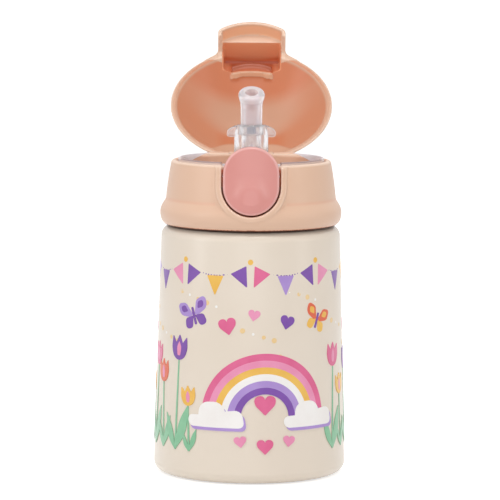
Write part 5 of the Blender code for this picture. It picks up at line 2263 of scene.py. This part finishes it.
    def bunting(self) -> None:
        """Print the bunting: a sagging cord with pennants all round."""
        round_length = 2.0 * math.pi * self.roll_r
        span = round_length / self.swags
        colours = (Ink.PURPLE, Ink.ROSE, Ink.PURPLE, Ink.GOLD, Ink.PURPLE, Ink.HOT_PINK, Ink.LILAC)
        count = 0
        flag = [(-1.0, 0.0, 0.12), (0.0, -2.2, 0.18), (1.0, 0.0, 0.12)]
        for index in range(self.swags):
            middle = (index - 0.5 * self.swags + 0.5) * span
            share = [-1.0 + step / 8.0 for step in range(17)]
            line = [(0.5 * span * s, -self.swag_drop * (1.0 - s * s)) for s in share]
            upper = [(x, z + 0.25) for x, z in line]
            lower = [(x, z - 0.25) for x, z in reversed(line)]
            self.motif(Ink.PURPLE, upper + lower, (middle, self.swag_z), 1.0, 0.0, 2)
            self.spot(Ink.GOLD, (middle - 0.5 * span, self.swag_z), 1.1, 4)
            for step in range(self.pennants):
                s = -1.0 + (2.0 * step + 1.0) / self.pennants
                slope = math.degrees(math.atan2(2.0 * self.swag_drop * s, 0.5 * span))
                place = (middle + 0.5 * span * s, self.swag_z - self.swag_drop * (1.0 - s * s))
                self.motif(colours[count % len(colours)], flag, place, 3.6, slope, 3)
                count += 1

    def rainbow(self, at: Sequence[float], outer: float) -> None:
        """Print a rainbow that stands on two clouds.

        Args:
            at: place on the sheet, along and up.
            outer: radius of the outer band.
        """
        width = outer * 0.105
        for index, ink in enumerate((Ink.HOT_PINK, Ink.ROSE, Ink.GOLD, Ink.WHITE, Ink.LILAC, Ink.PURPLE)):
            reach = outer - width * index
            self.bow(ink, at, reach - width, reach, 2)
        for sign in (-1.0, 1.0):
            self.cloud((at[0] + sign * outer * 0.76, at[1] - outer * 0.16), outer * 0.3)

    def build(self) -> None:
        """Print every motif and set one piece down for each ink."""
        self.bunting()
        self.rainbow((6.0, 27.0), 25.5)
        self.rainbow((112.0, 30.0), 18.0)
        meadow = (
            (-41.0, 27.0, 4.6, -1.5, Ink.FLAME), (-32.5, 37.0, 5.0, 1.0, Ink.PURPLE),
            (-25.0, 19.0, 4.0, -1.0, Ink.GOLD), (38.5, 34.0, 4.8, 1.5, Ink.HOT_PINK),
            (46.5, 22.0, 4.2, -0.5, Ink.GOLD), (55.0, 31.0, 4.6, 1.0, Ink.PURPLE),
            (-50.0, 33.0, 4.8, 1.0, Ink.HOT_PINK), (-58.5, 21.0, 4.0, -1.0, Ink.GOLD),
            (-72.0, 34.0, 4.8, 1.5, Ink.PURPLE), (-80.5, 24.0, 4.2, -1.0, Ink.FLAME),
            (70.0, 26.0, 4.4, 1.0, Ink.FLAME), (78.5, 36.0, 4.8, -1.0, Ink.HOT_PINK),
        )
        for along, height, size, lean, ink in meadow:
            self.tulip(ink, (along, self.meadow_z), height, size, lean)
        hearts = (
            (-9.0, 63.0, 3.6, 12.0, Ink.HOT_PINK), (1.5, 67.5, 2.4, -10.0, Ink.ROSE),
            (6.0, 32.0, 4.2, 0.0, Ink.HOT_PINK), (15.0, 64.5, 3.0, -14.0, Ink.PURPLE),
            (-3.5, 17.5, 2.4, 8.0, Ink.ROSE), (6.0, 15.5, 3.2, 0.0, Ink.HOT_PINK),
            (15.5, 17.5, 2.4, -8.0, Ink.ROSE), (60.0, 60.0, 3.2, 10.0, Ink.ROSE),
            (-62.0, 58.0, 3.2, -10.0, Ink.HOT_PINK), (112.0, 35.0, 3.0, 0.0, Ink.HOT_PINK),
            (100.0, 62.0, 2.6, 12.0, Ink.PURPLE), (-92.0, 64.0, 2.4, 8.0, Ink.ROSE),
        )
        for along, up, size, turn, ink in hearts:
            self.heart(ink, (along, up), size, turn)
        self.butterfly(Ink.LILAC, Ink.PURPLE, (-24.0, 67.0), 5.4, 18.0)
        self.butterfly(Ink.FLAME, Ink.GOLD, (29.5, 65.0), 4.8, -20.0)
        self.butterfly(Ink.ROSE, Ink.HOT_PINK, (-84.0, 48.0), 4.6, -14.0)
        self.butterfly(Ink.LILAC, Ink.PURPLE, (84.0, 62.0), 4.4, 16.0)
        for index in range(self.dots):
            along = (index * 61.8) % 228.0 - 114.0
            up = 50.0 + (index * 17.3) % 27.0
            self.spot(Ink.STRAW if index % 3 else Ink.WHITE, (along, up), 0.55 + 0.25 * (index % 3))
        for ink, shape in self.inks.items():
            name = ink.name.lower()
            paint = PrintInk("ink_" + name, srgb(*ink.value[0]), srgb(*ink.value[1])).make()
            set_piece("print_" + name, shape.tidy(), paint, Body.BOTTLE)


@dataclass
class Studio:
    """White sweep, soft lamps and the camera, in metres."""

    lens: float = 246.6
    sensor: float = 36.0
    eye: Sequence[float] = (-0.0012, -1.370, 0.235)
    tilt: float = 6.06
    roll: float = -0.38
    aim: Sequence[float] = (0.0, 0.0, 0.09)
    floor_tone: Colour = (0.84, 0.84, 0.84, 1.0)
    floor_glow: float = 0.62
    room_dim: float = 0.58

    def camera(self) -> None:
        """Place the camera at the photograph's viewing angle."""
        data = bpy.data.cameras.new("camera")
        data.lens = self.lens
        data.sensor_width = self.sensor
        obj = link("camera", data)
        obj.location = self.eye
        obj.rotation_euler = (math.radians(90.0 - self.tilt), math.radians(self.roll), 0.0)
        bpy.context.scene.camera = obj

    def lamp(self, name: str, place: Sequence[float], size: Sequence[float], power: float) -> None:
        """Hang a soft box that looks at the bottle.

        Args:
            name: its name.
            place: where it hangs.
            size: width and height.
            power: watts.
        """
        data = bpy.data.lights.new(name, "AREA")
        data.shape = "RECTANGLE"
        data.size, data.size_y = size
        data.energy = power
        obj = link(name, data)
        obj.location = place
        way = Vector(self.aim) - Vector(place)
        obj.rotation_euler = way.to_track_quat("-Z", "Y").to_euler()

    def floor(self) -> None:
        """Lay the floor, which stays white to the camera and keeps the shadow."""
        flat = Sculpt()
        bmesh.ops.create_grid(flat.bm, x_segments=8, y_segments=8, size=6.0)
        mesh = flat.mesh("floor")
        obj = link("floor", mesh)
        box = Paintbox.material("floor_white")
        sheet = box.node("ShaderNodeBsdfDiffuse", {}, {"Color": self.floor_tone})
        glow = box.node("ShaderNodeEmission", {}, {"Color": WHITE, "Strength": self.floor_glow})
        both = box.node("ShaderNodeAddShader", {}, {0: sheet, 1: glow})
        shader = box.node("ShaderNodeMixShader", {}, {0: box.seen(), 1: sheet, 2: both})
        mesh.materials.append(box.close(shader))

    def world(self) -> None:
        """Light the room softly and show it white."""
        box = Paintbox(bpy.data.worlds.new("room"))
        dim = box.node("ShaderNodeBackground", {}, {"Color": WHITE, "Strength": self.room_dim})
        bright = box.node("ShaderNodeBackground", {}, {"Color": WHITE, "Strength": 1.0})
        shader = box.node("ShaderNodeMixShader", {}, {0: box.seen(), 1: dim, 2: bright})
        bpy.context.scene.world = box.close(shader)

    def build(self) -> None:
        """Set the studio up."""
        bpy.context.scene.view_settings.view_transform = "Standard"
        self.camera()
        self.world()
        self.floor()
        self.lamp("left_box", (-1.25, -0.5, 0.5), (0.4, 0.9), 2.8)
        self.lamp("right_box", (1.3, -0.5, 0.45), (0.35, 0.8), 1.5)
        self.lamp("front_box", (0.0, -1.6, 0.42), (1.0, 0.7), 3.2)
        self.lamp("top_box", (0.0, -0.35, 1.2), (0.6, 0.4), 4.4)


def main() -> None:
    """Build every sub-assembly."""
    logging.basicConfig(level=logging.INFO)
    finishes = Finishes()
    Studio().build()
    flask = Flask(finishes)
    collar = Collar(finishes)
    core = LidCore(finishes, collar)
    parts = (
        flask, PrintArt(flask), collar, core, Spout(finishes, core),
        Button(finishes, collar), Cover(finishes, collar),
    )
    for part in parts:
        part.build()


if __name__ == "__main__":
    main()
